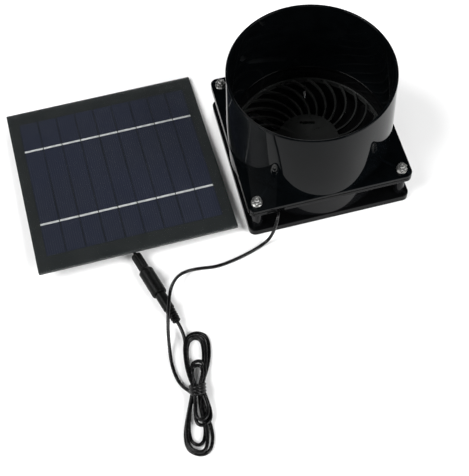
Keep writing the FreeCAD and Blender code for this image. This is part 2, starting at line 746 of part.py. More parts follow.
def socket_body():
    """In-line socket: a wide shell with a narrow sleeve where the cord enters. +Z is the mouth."""
    back = -SOCKET_LENGTH
    shell = revolved([
        (0, back - SOCKET_NECK_LENGTH),
        (SOCKET_NECK_R, back - SOCKET_NECK_LENGTH),
        (SOCKET_NECK_R, back),
        (SOCKET_R, back + SOCKET_SHOULDER),
        (SOCKET_R, -SOCKET_CHAMFER),
        (SOCKET_R - SOCKET_CHAMFER, 0),
        (0, 0),
    ])
    neck_end = back - SOCKET_NECK_LENGTH
    shell = shell.cut(rod(CORD_R, neck_end - PAST, neck_end + SOCKET_CORD_DEPTH))
    shell = shell.cut(rod(SOCKET_BORE_R, -SOCKET_DEPTH, PAST))
    return shell.cut(rod(PIN_R, -SOCKET_DEPTH - PIN_ROOT, 0))


def socket_contact():
    return tube(SOCKET_BORE_R, CONTACT_R, -SOCKET_DEPTH, -CONTACT_SET_BACK)


def socket_pin():
    pin_end = -SOCKET_DEPTH + PIN_LENGTH
    pin = rod(PIN_R, -SOCKET_DEPTH - PIN_ROOT, pin_end)
    tip = [e for e in pin.Edges if min(v.Z for v in e.Vertexes) > pin_end - SAME]
    return pin.makeFillet(PIN_TIP_R, tip)


def plug_body():
    """Moulded grip with a ribbed strain relief."""
    grip = revolved([
        (0, 0), (PLUG_R - GRIP_EDGE, 0), (PLUG_R, GRIP_EDGE), (PLUG_R, PLUG_LENGTH - GRIP_END_CHAMFER),
        (RELIEF_GROOVE_R, PLUG_LENGTH), (0, PLUG_LENGTH),
    ])
    end_z = PLUG_LENGTH + RELIEF_LENGTH - RELIEF_CORE_IN
    pieces = [grip, rod(RELIEF_GROOVE_R, PLUG_LENGTH - RELIEF_CORE_IN, end_z)]
    pitch = (RELIEF_LENGTH - RELIEF_TAIL) / RELIEF_RIBS
    for i in range(RELIEF_RIBS):
        share = i / (RELIEF_RIBS - 1)
        radius = RELIEF_START_R + (RELIEF_END_R - RELIEF_START_R) * share
        bottom = PLUG_LENGTH + RELIEF_FIRST + i * pitch
        pieces.append(rod(radius, bottom, bottom + RELIEF_RIB_SHARE * pitch))
    body = fused(pieces).cut(rod(PLUG_BARREL_R, -PAST, BARREL_ROOT))
    return body.cut(rod(CORD_R, end_z - RELIEF_CORD_DEPTH, end_z + PAST))


def plug_barrel():
    return tube(PLUG_BARREL_R, PLUG_INSULATOR_R, -BARREL_LENGTH, BARREL_ROOT)


def plug_insulator():
    return tube(PLUG_INSULATOR_R, PLUG_CONTACT_R, -BARREL_LENGTH + INSULATOR_SET_BACK, BARREL_ROOT)


def plug_inner_contact():
    return tube(PLUG_CONTACT_R, PLUG_BORE_R, -BARREL_LENGTH + 2 * INSULATOR_SET_BACK, BARREL_ROOT)


# Panel ------------------------------------------------------------------------------------

def panel_board():
    return rounded_box(PANEL_W, PANEL_H, PANEL_CORNER_R, BOARD_BOTTOM, BOARD_TOP)


def cell_centres():
    first = -(CELL_COUNT - 1) / 2 * CELL_PITCH
    return [first + i * CELL_PITCH for i in range(CELL_COUNT)]


def cell_strips():
    strips = []
    for x in cell_centres():
        corner = V(x - CELL_W / 2, CELL_Y - CELL_H / 2, BOARD_TOP)
        strips.append(Part.makeBox(CELL_W, CELL_H, CELL_T, corner))
    return Part.makeCompound(strips)


def bus_ribbons():
    ribbons = []
    for y in RIBBON_Y:
        for x in cell_centres():
            corner = V(x - RIBBON_L / 2, y - RIBBON_W / 2, BOARD_TOP + CELL_T)
            ribbons.append(Part.makeBox(RIBBON_L, RIBBON_W, RIBBON_T, corner))
    return Part.makeCompound(ribbons)


def panel_laminate(cells, ribbons):
    """Clear front, with the cells and ribbons bedded in its underside."""
    sheet = rounded_box(PANEL_W, PANEL_H, PANEL_CORNER_R, BOARD_TOP, 0)
    return sheet.cut(cells).cut(ribbons)


def box_outline(inset, bottom, top):
    outline = rounded_box(BOX_W - 2 * inset, BOX_H - 2 * inset, BOX_CORNER_R - inset / 2, bottom, top)
    outline.translate(V(BOX_CENTRE[0], BOX_CENTRE[1], 0))
    return outline


def junction_box():
    bottom = BOARD_BOTTOM - BOX_DEPTH
    shell = box_outline(0, bottom + BOX_LID_T, BOARD_BOTTOM)
    shell = shell.cut(box_outline(BOX_WALL, bottom, BOARD_BOTTOM - BOX_ROOF_T))
    start = V(BOX_GLAND_X, BOX_CENTRE[1] - BOX_H / 2 - BOX_CORD_REACH, BOX_GLAND_Z)
    hole = Part.makeCylinder(CORD_R, 2 * BOX_CORD_REACH, start, V(0, 1, 0))
    return shell.cut(hole)


def junction_box_lid():
    bottom = BOARD_BOTTOM - BOX_DEPTH
    return box_outline(0, bottom, bottom + BOX_LID_T)


def junction_gland():
    face = BOX_CENTRE[1] - BOX_H / 2
    outwards = V(0, -1, 0)
    foot = V(BOX_GLAND_X, face, BOX_GLAND_Z)
    nub = Part.makeCone(BOX_GLAND_R, BOX_GLAND_TIP_R, BOX_GLAND_LENGTH, foot, outwards)
    bore = Part.makeCylinder(CORD_R, BOX_GLAND_LENGTH + 2 * PAST, foot - outwards * PAST, outwards)
    return nub.cut(bore)


def terminal_tabs():
    tabs = []
    for x in TAB_X:
        corner = V(x - TAB_W / 2, BOX_CENTRE[1] - TAB_L / 2, BOARD_BOTTOM - BOX_ROOF_T - TAB_T)
        tabs.append(Part.makeBox(TAB_W, TAB_L, TAB_T, corner))
    return Part.makeCompound(tabs)


def blocking_diode():
    """Axial diode bridging the two tabs."""
    z = BOARD_BOTTOM - BOX_ROOF_T - TAB_T - DIODE_WIRE_R
    start, end = TAB_X
    wire = Part.makeCylinder(DIODE_WIRE_R, end - start, V(start, BOX_CENTRE[1], z), V(1, 0, 0))
    middle = (start + end) / 2 - DIODE_L / 2
    body = Part.makeCylinder(DIODE_R, DIODE_L, V(middle, BOX_CENTRE[1], z), V(1, 0, 0))
    return wire.fuse(body)


def main():
    os.makedirs("parts", exist_ok=True)
    fan = in_fan()
    export(adapter_plate(), "adapter_plate", fan)
    export(collar_wall(), "collar_wall", fan)
    barrel = frame_barrel()
    top_flange = frame_top()
    export(frame_base(), "frame_base", fan)
    export(top_flange, "frame_top", fan)
    export(barrel, "frame_barrel", fan)
    export(frame_posts(), "frame_posts", fan)
    export(spiral_guard(), "spiral_guard", fan)
    export(cable_gland([barrel, top_flange]), "cable_gland", fan)
    export(bearing_tube(), "bearing_tube", fan)
    export(bearing_cap(), "bearing_cap", fan)
    export(sleeve_bearing(), "sleeve_bearing", fan)
    export(thrust_washer(), "thrust_washer", fan)
    core = stator_core()
    export(core, "stator_core", fan)
    export(stator_insulator(core), "stator_insulator", fan)
    export(stator_coils(), "stator_coils", fan)
    export(motor_pcb(), "motor_pcb", fan)
    export(pcb_components(), "pcb_components", fan)
    leads = route_tube(motor_lead_route(), LEAD_JACKET_R, "motor_leads")
    export(leads, "motor_leads", fan)
    export(impeller(), "impeller", fan)
    export(rotor_yoke(), "rotor_yoke", fan)
    export(magnet_ring(), "magnet_ring", fan)
    export(shaft(), "shaft", fan)
    export(retaining_clip(), "retaining_clip", fan)
    export(four(corner_bolt()), "corner_bolts", fan)
    export(four(corner_washer()), "corner_washers", fan)
    export(four(corner_nut(), NUT_TURNS), "corner_nuts", fan)

    export(route_tube(FAN_CORD_ROUTE, CORD_R, "fan_cord"), "fan_cord")
    export(route_tube(PLUG_LEAD_ROUTE, CORD_R, "plug_lead"), "plug_lead")
    export(route_tube(PANEL_CORD_ROUTE, CORD_R, "panel_cord"), "panel_cord")
    export(cord_hank(), "cord_hank")

    connector = on_connector()
    export(socket_body(), "socket_body", connector)
    export(socket_contact(), "socket_contact", connector)
    export(socket_pin(), "socket_pin", connector)
    export(plug_body(), "plug_body", connector)
    export(plug_barrel(), "plug_barrel", connector)
    export(plug_insulator(), "plug_insulator", connector)
    export(plug_inner_contact(), "plug_inner_contact", connector)

    panel = in_panel()
    cells = cell_strips()
    ribbons = bus_ribbons()
    export(panel_board(), "panel_board", panel)
    export(cells, "cell_strips", panel)
    export(ribbons, "bus_ribbons", panel)
    export(panel_laminate(cells, ribbons), "panel_laminate", panel)
    export(junction_box(), "junction_box", panel)
    export(junction_box_lid(), "junction_box_lid", panel)
    export(junction_gland(), "junction_gland", panel)
    export(terminal_tabs(), "terminal_tabs", panel)
    export(blocking_diode(), "blocking_diode", panel)


main()
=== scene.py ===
import json
import math

import bmesh
import bpy
from mathutils import Matrix, Vector


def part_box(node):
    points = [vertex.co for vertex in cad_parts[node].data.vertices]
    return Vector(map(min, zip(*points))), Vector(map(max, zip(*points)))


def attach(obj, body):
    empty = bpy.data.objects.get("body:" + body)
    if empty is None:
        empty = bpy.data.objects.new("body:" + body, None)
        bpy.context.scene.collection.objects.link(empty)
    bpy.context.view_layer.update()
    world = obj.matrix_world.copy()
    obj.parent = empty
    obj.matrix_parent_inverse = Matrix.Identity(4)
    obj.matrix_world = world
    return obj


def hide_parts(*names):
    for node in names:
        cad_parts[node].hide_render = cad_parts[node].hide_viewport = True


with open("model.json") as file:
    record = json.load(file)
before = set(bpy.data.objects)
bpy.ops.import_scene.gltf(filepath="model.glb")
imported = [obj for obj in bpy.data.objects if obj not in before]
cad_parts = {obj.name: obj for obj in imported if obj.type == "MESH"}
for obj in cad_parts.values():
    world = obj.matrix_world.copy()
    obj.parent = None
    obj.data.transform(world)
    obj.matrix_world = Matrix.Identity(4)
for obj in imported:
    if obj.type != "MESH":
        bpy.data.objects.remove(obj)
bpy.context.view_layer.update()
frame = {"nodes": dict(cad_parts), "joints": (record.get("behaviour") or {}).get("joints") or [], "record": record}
NODES = frame["nodes"]

MM = 0.001

# Camera ----------------------

CAMERA_AZIMUTH = math.radians(-11.003)
CAMERA_ELEVATION = math.radians(60.897)
CAMERA_ROLL = math.radians(-3.592)
CAMERA_PLACE = Vector((-0.0801, -0.5460, 0.8303))
LENS_MM = 80.70
SENSOR_MM = 36.0
NEAREST, FARTHEST = 0.01, 20.0


def make_camera():
    """The photograph's viewing angle, from its azimuth, elevation and roll."""
    az, el, roll = CAMERA_AZIMUTH, CAMERA_ELEVATION, CAMERA_ROLL
    back = Vector((math.sin(az) * math.cos(el), -math.cos(az) * math.cos(el), math.sin(el)))
    level = Vector((math.cos(az), math.sin(az), 0.0))
    rise = back.cross(level)
    right = math.cos(roll) * level + math.sin(roll) * rise
    up = math.cos(roll) * rise - math.sin(roll) * level
    data = bpy.data.cameras.new("camera")
    data.lens = LENS_MM
    data.sensor_width = SENSOR_MM
    data.sensor_fit = "HORIZONTAL"
    data.clip_start = NEAREST
    data.clip_end = FARTHEST
    camera = bpy.data.objects.new("camera", data)
    bpy.context.scene.collection.objects.link(camera)
    turn = Matrix((right, up, back)).transposed().to_4x4()
    camera.matrix_world = Matrix.Translation(CAMERA_PLACE) @ turn
    bpy.context.scene.camera = camera


make_camera()

# Cords -----------------------

CORD_D = 3.0
CORD_BEVEL_STEPS = 6
CORD_SPAN_STEPS = 10           # from one point of a route to the next

# Routes in millimetres: from the gland to the hank, from the plug to the hank, and the pigtail's.
FAN_CORD_ROUTE = [
    (50.5, -85.5, 29.6), (49.3, -92.5, 29.8), (46.0, -99.8, 28.0), (42.7, -103.3, 20.3),
    (40.3, -103.7, 11.2), (36.0, -104.7, 3.9), (28.0, -107.5, 1.6), (14.5, -112.1, 1.6),
    (-1.5, -115.7, 1.6), (-15.5, -117.3, 1.6), (-28.5, -115.1, 1.6), (-40.5, -115.3, 3.2),
    (-50.3, -120.3, 7.6), (-57.1, -130.1, 13.0), (-61.4, -140.8, 17.2), (-66.5, -158.5, 17.2),
    (-69.9, -171.0, 11.0), (-71.8, -182.5, 4.4), (-73.3, -194.5, 1.7), (-72.8, -207.5, 1.6),
    (-70.0, -218.8, 2.4), (-64.0, -227.0, 4.6),
]
PLUG_LEAD_ROUTE = [
    (-60.15, -163.6, 6.8), (-58.3, -170.3, 6.3), (-57.6, -177.3, 4.7), (-57.9, -182.3, 3.8),
]
PANEL_CORD_ROUTE = [(-85.99, -60.0, 6.54), (-85.42, -78.3, 7.15), (-80.6, -94.56, 6.8)]

# The hank, in its own axes: along it towards the lower loop, across it to the right, and up.
HANK_WAIST = (-56.9, -224.9)
HANK_ANGLE = math.radians(-101.0)


def hank_point(along, across, z):
    """A point given in the hank's axes, in the frame's."""
    e = (math.cos(HANK_ANGLE), math.sin(HANK_ANGLE))
    x = HANK_WAIST[0] + along * e[0] - across * e[1]
    y = HANK_WAIST[1] + along * e[1] + across * e[0]
    return (x, y, z)


# The tie: wraps of the cord round the waist, bowed towards the lower loop where they cross over
# it. Its first and last turn are counted from the waist's left side.
TIE_R = 6.1
TIE_AXIS_Z = 7.65
TIE_START = 5.2
TIE_PITCH = 2.8
TIE_BOW = 5.0
TIE_FIRST_TURN = 0.13
TIE_LAST_TURN = 2.75
TIE_POINTS = 32
TIE_EXIT = [(-4.6, -4.8, 2.2), (-10.4, -4.4, 4.4)]

# Each turn, from the tie outwards, in the order in which the cord is wound.
#  top and bottom: along, across, z     the others, down each side of the turn: across, z
TURNS = [
    dict(top=(-18.6, 0.5, 7.0), up_left=(-4.0, 6.0), up_right=(4.8, 7.0), waist_left=(-2.0, 9.6),
         waist_right=(1.2, 10.6), right_mid=(5.6, 8.6), low_right=(8.0, 7.4), low_left=(-2.4, 7.6),
         bottom=(29.4, 2.6, 7.4)),
    dict(top=(-23.0, 1.6, 5.6), up_left=(-4.4, 5.2), up_right=(7.0, 5.0), waist_left=(-1.8, 10.2),
         waist_right=(3.2, 8.8), right_mid=(7.6, 6.6), low_right=(10.4, 4.6), low_left=(-2.9, 4.8),
         bottom=(33.2, 2.0, 4.8)),
    dict(top=(-45.8, -0.4, 1.6), up_left=(-8.2, 1.6), up_right=(6.2, 1.6), waist_left=(-3.2, 8.2),
         waist_right=(0.6, 4.6), right_mid=(1.8, 2.4), low_right=(5.0, 1.6), low_left=(-8.8, 1.6),
         bottom=(48.6, -1.0, 1.6)),
    dict(top=(-46.6, 0.2, 4.4), up_left=(-9.3, 4.4), up_right=(8.4, 4.4), waist_left=(-2.6, 5.6),
         waist_right=(3.2, 6.0), right_mid=(3.2, 4.8), low_right=(6.9, 4.4), low_left=(-10.6, 4.4),
         bottom=(55.6, 1.2, 4.4)),
    dict(top=(-50.7, 0.6, 1.6), up_left=(-10.3, 1.6), up_right=(11.4, 1.6), waist_left=(-1.0, 7.4),
         waist_right=(1.6, 7.4), right_mid=(6.2, 2.6), low_right=(11.1, 1.6), low_left=(-12.3, 1.6),
         bottom=(56.9, 1.2, 1.6)),
]
LAST_CLIMB = [(0.0, -3.2, 7.4), (-9.0, -6.6, 6.4), (-22.0, -9.2, 5.0), (-33.0, -9.7, 4.4)]


def mix(a, b, t):
    return a + (b - a) * t


# A turn's points, clockwise from the waist's left side. Each lies at a share of the way from the
# tie to the turn's top or bottom. Across and up, it lies between two of the turn's places.
#  towards, share along, first place, second place, share across, share up
TURN_PATH = [
    ("waist", 0.0, "waist_left", "waist_left", 0.0, 0.0),
    ("top", 0.30, "waist_left", "up_left", 0.60, 0.7),
    ("top", 0.62, "up_left", "up_left", 0.0, 0.0),
    ("top", 0.90, "top", "up_left", 0.90, 0.5),
    ("top", 1.0, "top", "up_left", 0.36, 0.0),
    ("top", 1.0, "top", "up_right", 0.36, 0.0),
    ("top", 0.90, "top", "up_right", 0.90, 0.5),
    ("top", 0.62, "up_right", "up_right", 0.0, 0.0),
    ("top", 0.30, "waist_right", "up_right", 0.70, 0.7),
    ("waist", 1.0, "waist_right", "waist_right", 0.0, 0.0),
    ("bottom", 0.20, "waist_right", "right_mid", 0.60, 0.6),
    ("bottom", 0.38, "right_mid", "right_mid", 0.0, 0.0),
    ("bottom", 0.68, "low_right", "low_right", 0.0, 0.0),
    ("bottom", 0.91, "bottom", "low_right", 0.86, 0.5),
    ("bottom", 1.0, "bottom", "low_right", 0.30, 0.0),
    ("bottom", 1.0, "bottom", "low_left", 0.30, 0.0),
    ("bottom", 0.91, "bottom", "low_left", 0.86, 0.5),
    ("bottom", 0.68, "low_left", "low_left", 0.0, 0.0),
    ("bottom", 0.34, "waist_left", "low_left", 0.62, 0.7),
]
WAIST_SLIP = 3.0               # how far below its left side a turn crosses the waist's right side


def turn_points(turn):
    """One turn's points, in the hank's axes."""
    ends = dict(top=turn["top"][0], waist=WAIST_SLIP, bottom=turn["bottom"][0])
    points = []
    for towards, along, first, second, across, up in TURN_PATH:
        *_, first_across, first_z = turn[first]
        *_, second_across, second_z = turn[second]
        points.append((along * ends[towards], mix(first_across, second_across, across),
                       mix(first_z, second_z, up)))
    return points


def tie_points():
    """The wraps round the waist, starting over the top from the left."""
    points = []
    for i in range(TIE_POINTS + 1):
        turns = mix(TIE_FIRST_TURN, TIE_LAST_TURN, i / TIE_POINTS)
        angle = 2 * math.pi * turns
        along = TIE_START - TIE_PITCH * turns + TIE_BOW * max(0.0, math.sin(angle))
        points.append((along, -TIE_R * math.cos(angle), TIE_AXIS_Z + TIE_R * math.sin(angle)))
    return points


def hank_points():
    """The hank's route: the tie, then the turns, and the climb towards the plug's lead."""
    first, *others = TURNS
    route = tie_points() + TIE_EXIT + turn_points(first)[2:]
    for turn in others:
        route += turn_points(turn)
    route += LAST_CLIMB
    return [hank_point(*p) for p in route]


def cord_curve(name, route):
    """A round cord on one smooth open spline."""
    data = bpy.data.curves.new(name, "CURVE")
    data.dimensions = "3D"
    data.bevel_depth = 1.0             # each point's radius is the cord's
    data.bevel_resolution = CORD_BEVEL_STEPS
    data.use_fill_caps = True
    spline = data.splines.new("NURBS")
    spline.points.add(len(route) - 1)
    for point, place in zip(spline.points, route):
        point.co = (place[0] * MM, place[1] * MM, place[2] * MM, 1.0)
        point.radius = CORD_D / 2 * MM
    spline.order_u = 3
    spline.use_endpoint_u = True
    spline.resolution_u = CORD_SPAN_STEPS
    piece = bpy.data.objects.new(name, data)
    bpy.context.scene.collection.objects.link(piece)
    return piece


main_route = FAN_CORD_ROUTE + hank_points() + PLUG_LEAD_ROUTE[::-1]
main_cord = cord_curve("main_cord", main_route)
panel_lead = cord_curve("panel_lead", PANEL_CORD_ROUTE)
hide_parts("fan_cord", "cord_hank", "plug_lead")
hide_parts("panel_cord")
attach(main_cord, "housing")
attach(panel_lead, "panel")

# Places and sizes read from the frame ----


def middle(node):
    """The middle of a CAD piece's box."""
    low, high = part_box(node)
    return (low + high) / 2


FAN = middle("collar_wall")
PLATE_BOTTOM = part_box("adapter_plate")[0].z
PLATE_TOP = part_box("adapter_plate")[1].z
COLLAR_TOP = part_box("collar_wall")[1].z
COLLAR_R = (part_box("collar_wall")[1].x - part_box("collar_wall")[0].x) / 2
FAN_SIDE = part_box("adapter_plate")[1].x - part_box("adapter_plate")[0].x
FLANGE_LOW_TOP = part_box("frame_base")[1].z
FLANGE_TOP_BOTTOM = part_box("frame_top")[0].z

COLLAR_LAND = 24.0 * MM
COLLAR_TAPER = 1.8 * MM
COLLAR_WALL = 2.3 * MM
SPIGOT_R = 74.0 * MM
CORNER_R = 6.0 * MM
BOLT_PITCH = 132.7 * MM
BOLT_HOLE_R = 2.7 * MM
POCKET_R = 5.4 * MM
POCKET_DEPTH = 4.2 * MM
BORE_R = 71.5 * MM
LEDGE_R = 70.6 * MM
LEDGE_Z = 15.0 * MM
BARREL_R = 74.2 * MM
POST_R = 5.0 * MM
NOTCH_W = 7.0 * MM
NOTCH_DEPTH = 3.0 * MM
GLAND_X = -47.0 * MM
GLAND_R = 3.2 * MM
GLAND_Z = 29.6 * MM
GLAND_INNER = 51.0 * MM        # from the fan's axis to where the gland's hole starts

# Building blocks -------------

ARC_STEPS = 4
SUPPORT = 0.25 * MM            # between a rounded edge and the row of faces that keeps it apart
LATHE_SEGMENTS = 192
FINE_SEGMENTS = 256            # for the widest round parts
ROD_SEGMENTS = 48
DRILL_SEGMENTS = 32
MERGED = 0.001 * MM            # points nearer than this are one
PAST = 1.0 * MM                # how far a cutter reaches past the surface
SHARP_ANGLE = math.radians(35)


def shade_smooth(mesh):
    mesh.shade_smooth()
    mesh.set_sharp_from_angle(angle=SHARP_ANGLE)


def new_piece(name, bm, smooth=True):
    """A mesh object from a bmesh, with its faces turned outwards."""
    bmesh.ops.remove_doubles(bm, verts=bm.verts, dist=MERGED)
    bmesh.ops.recalc_face_normals(bm, faces=bm.faces)
    mesh = bpy.data.meshes.new(name)
    bm.to_mesh(mesh)
    bm.free()
    if smooth:
        shade_smooth(mesh)
    piece = bpy.data.objects.new(name, mesh)
    bpy.context.scene.collection.objects.link(piece)
    return piece


def soft(outline, closed=True):
    """The outline with its corners rounded: each point is (across, up) or (across, up, radius)."""
    count = len(outline)
    points = []
    for i, corner in enumerate(outline):
        here = Vector(corner[:2])
        radius = corner[2] if len(corner) > 2 else 0.0
        at_end = not closed and i in (0, count - 1)
        if radius == 0.0 or at_end:
            points.append(here)
            continue
        back = (Vector(outline[i - 1][:2]) - here).normalized()
        ahead = (Vector(outline[(i + 1) % count][:2]) - here).normalized()
        half = back.angle(ahead) / 2
        cut = radius / math.tan(half)
        centre = here + (back + ahead).normalized() * (radius / math.sin(half))
        start = here + back * cut - centre
        end = here + ahead * cut - centre
        points.append(centre + start + back * SUPPORT)
        for step in range(ARC_STEPS + 1):
            share = step / ARC_STEPS
            spoke = start.lerp(end, share).normalized() * radius
            points.append(centre + spoke)
        points.append(centre + end + ahead * SUPPORT)
    return points


def stitch(bm, rings, closed):
    """Faces between neighbouring rings; a ring of one point is a pole."""
    pairs = list(zip(rings, rings[1:]))
    if closed:
        pairs.append((rings[-1], rings[0]))
    for low, high in pairs:
        count = max(len(low), len(high))
        for i in range(count):
            j = (i + 1) % count
            corners = [low[i % len(low)], low[j % len(low)], high[j % len(high)], high[i % len(high)]]
            face = list(dict.fromkeys(corners))
            if len(face) > 2:
                bm.faces.new(face)


def on_circle(centre, radius, turn, z):
    return (centre[0] + radius * math.cos(turn), centre[1] + radius * math.sin(turn), z)


def lathe(name, outline, centre=(0.0, 0.0), segments=LATHE_SEGMENTS, flutes=None):
    """A solid turned about +Z. An outline that starts and ends on the axis closes with poles."""
    poles = outline[0][0] == 0.0
    bm = bmesh.new()
    rings = []
    for radius, z in soft(outline, closed=not poles):
        if radius < MERGED:
            rings.append([bm.verts.new((centre[0], centre[1], z))])
            continue
        ring = []
        for i in range(segments):
            turn = 2 * math.pi * i / segments
            reach = radius
            if flutes and flutes["low"] < z < flutes["high"]:
                reach += flutes["depth"] * math.cos(flutes["count"] * turn)
            ring.append(bm.verts.new(on_circle(centre, reach, turn, z)))
        rings.append(ring)
    stitch(bm, rings, closed=not poles)
    return new_piece(name, bm)


SIDE_STEPS = 28
CORNER_STEPS = 10


def square_ring(bm, inset, z):
    """The fan's rounded square outline, moved in by inset, as a ring of points."""
    half = FAN_SIDE / 2 - inset
    radius = CORNER_R - inset
    straight = half - radius
    ring = []
    for quarter in range(4):
        turn = math.pi / 2 * quarter
        c, s = math.cos(turn), math.sin(turn)
        local = [(half, mix(-straight, straight, i / SIDE_STEPS)) for i in range(SIDE_STEPS)]
        for i in range(CORNER_STEPS):
            a = math.pi / 2 * i / CORNER_STEPS
            local.append((straight + radius * math.cos(a), straight + radius * math.sin(a)))
        for x, y in local:
            ring.append(bm.verts.new((FAN.x + x * c - y * s, FAN.y + x * s + y * c, z)))
    return ring


def round_ring(bm, radius, z):
    """A circle with its points in line with those of the square outline."""
    guide = square_ring(bm, 0.0, z)
    for vert in guide:
        reach = Vector((vert.co.x - FAN.x, vert.co.y - FAN.y, 0.0)).normalized() * radius
        vert.co = Vector((FAN.x + reach.x, FAN.y + reach.y, z))
    return guide


def flange(name, bore_r, bottom, top, edge):
    """A square plate with a round bore and softly rounded edges: both outlines lose their ends."""
    outer = soft([(-1.0, bottom), (0.0, bottom, edge), (0.0, top, edge), (-1.0, top)], closed=False)
    inner = soft([(1.0, top), (0.0, top, edge), (0.0, bottom, edge), (1.0, bottom)], closed=False)
    bm = bmesh.new()
    rings = [square_ring(bm, -across, z) for across, z in outer[1:-1]]
    rings += [round_ring(bm, bore_r + across, z) for across, z in inner[1:-1]]
    stitch(bm, rings, closed=True)
    return new_piece(name, bm)


def prism(bm, outline, bottom, top):
    """An upright solid on an outline of (x, y) points."""
    low = [bm.verts.new((x, y, bottom)) for x, y in outline]
    high = [bm.verts.new((x, y, top)) for x, y in outline]
    stitch(bm, [low, high], closed=False)
    bm.faces.new(low)
    bm.faces.new(high)


def cylinder(bm, radius, centre, bottom, top, steps=DRILL_SEGMENTS):
    outline = [on_circle(centre, radius, 2 * math.pi * i / steps, 0.0)[:2] for i in range(steps)]
    prism(bm, outline, bottom, top)


def corners():
    """The four bolts' places."""
    half = BOLT_PITCH / 2
    return [(FAN.x + x, FAN.y + y) for x in (-half, half) for y in (-half, half)]


def corner_drills(radius, bottom, top):
    """Cutter for the four bolts' holes."""
    bm = bmesh.new()
    for centre in corners():
        cylinder(bm, radius, centre, bottom, top)
    return new_piece("drills", bm, smooth=False)


def carve(piece, *cutters):
    """Cut the cutters' shapes out of the piece, and drop them."""
    for cutter in cutters:
        modifier = piece.modifiers.new("carve", "BOOLEAN")
        modifier.operation = "DIFFERENCE"
        modifier.solver = "EXACT"
        modifier.object = cutter
    bpy.context.view_layer.update()
    result = bpy.data.meshes.new_from_object(piece.evaluated_get(bpy.context.evaluated_depsgraph_get()))
    piece.modifiers.clear()
    piece.data = result
    shade_smooth(result)
    for cutter in cutters:
        bpy.data.objects.remove(cutter)


def block(name, low, high):
    """A plain square cutter between two corners."""
    bm = bmesh.new()
    bmesh.ops.create_cube(bm, size=1.0)
    for vert in bm.verts:
        vert.co = Vector((mix(low[k], high[k], vert.co[k] + 0.5) for k in range(3)))
    return new_piece(name, bm, smooth=False)


def joined(name, pieces):
    """One piece made of several."""
    bm = bmesh.new()
    for piece in pieces:
        bm.from_mesh(piece.data)
        bpy.data.objects.remove(piece)
    return new_piece(name, bm)


def place(piece, matrix):
    """Move the piece's mesh, so that the object itself stays at the origin."""
    piece.data.transform(matrix)
    piece.data.update()


SLOT_PIECES = [(main_cord, "cord_jacket"), (panel_lead, "cord_jacket")]


def stands_for(piece, node, body, slot):
    """Let the piece take the CAD piece's place."""
    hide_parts(node)
    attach(piece, body)
    SLOT_PIECES.append((piece, slot))


# Fan housing -----------------

PLATE_EDGE = 0.6 * MM
FLANGE_EDGE = 0.8 * MM
RIM_EDGE = 0.8 * MM
LEDGE_EDGE = 0.3 * MM
COLLAR_SINK = 0.2 * MM         # of the collar's outside into the plate's top


def collar():
    """The duct collar, turned: straight up to its land, then tapered to a rounded rim."""
    base = COLLAR_R
    foot = PLATE_TOP - COLLAR_SINK
    land = PLATE_TOP + COLLAR_LAND
    top_r = base - COLLAR_TAPER
    piece = lathe("duct_collar", [
        (base - COLLAR_WALL, PLATE_BOTTOM),
        (SPIGOT_R, PLATE_BOTTOM),
        (SPIGOT_R, foot),
        (base, foot),
        (base, land),
        (top_r, COLLAR_TOP, RIM_EDGE),
        (top_r - COLLAR_WALL, COLLAR_TOP, RIM_EDGE),
        (base - COLLAR_WALL, land),
    ], FAN, segments=FINE_SEGMENTS)
    stands_for(piece, "collar_wall", "housing", "gloss_black_plastic")


def plate():
    """The adapter's square plate, with the bolts' holes."""
    piece = flange("collar_plate", SPIGOT_R, PLATE_BOTTOM, PLATE_TOP, PLATE_EDGE)
    carve(piece, corner_drills(BOLT_HOLE_R, 0.0, COLLAR_TOP))
    stands_for(piece, "adapter_plate", "housing", "gloss_black_plastic")


def lower_flange():
    """The frame's lower flange, with pockets for the bolts' heads."""
    piece = flange("fan_base_flange", LEDGE_R, 0.0, FLANGE_LOW_TOP, FLANGE_EDGE)
    holes = corner_drills(BOLT_HOLE_R, -PAST, COLLAR_TOP)
    pockets = corner_drills(POCKET_R, -PAST, POCKET_DEPTH)
    carve(piece, holes, pockets)
    stands_for(piece, "frame_base", "housing", "fan_black_plastic")


def gland_hole(reach):
    """Cutter for the lead's gland, from inside the bore to this distance from the fan's axis."""
    bm = bmesh.new()
    cylinder(bm, GLAND_R, (0.0, 0.0), GLAND_INNER, reach, ROD_SEGMENTS)
    forwards = Matrix.Rotation(math.pi / 2, 4, "X")
    lay = Matrix.Translation((FAN.x + GLAND_X, FAN.y, GLAND_Z)) @ forwards
    bmesh.ops.transform(bm, matrix=lay, verts=bm.verts)
    return new_piece("gland_hole", bm, smooth=False)


def upper_flange():
    """The frame's upper flange, with the lead's notch in its near edge."""
    piece = flange("fan_top_flange", BORE_R, FLANGE_TOP_BOTTOM, PLATE_BOTTOM, FLANGE_EDGE)
    middle_x, near = FAN.x + GLAND_X, FAN.y - FAN_SIDE / 2
    notch = block("notch", (middle_x - NOTCH_W / 2, near - PAST, FLANGE_TOP_BOTTOM - PAST),
                  (middle_x + NOTCH_W / 2, near + NOTCH_DEPTH, PLATE_BOTTOM + PAST))
    holes = corner_drills(BOLT_HOLE_R, 0.0, COLLAR_TOP)
    carve(piece, holes, notch, gland_hole(FAN_SIDE / 2 + PAST))
    stands_for(piece, "frame_top", "housing", "fan_black_plastic")


def barrel():
    """The wall between the flanges, with the ledge that the guard stands on."""
    piece = lathe("fan_barrel", [
        (LEDGE_R, FLANGE_LOW_TOP),
        (BARREL_R, FLANGE_LOW_TOP),
        (BARREL_R, FLANGE_TOP_BOTTOM),
        (BORE_R, FLANGE_TOP_BOTTOM),
        (BORE_R, LEDGE_Z, LEDGE_EDGE),
        (LEDGE_R, LEDGE_Z, LEDGE_EDGE),
    ], FAN, segments=FINE_SEGMENTS)
    carve(piece, gland_hole(FAN_SIDE / 2))
    stands_for(piece, "frame_barrel", "housing", "fan_black_plastic")


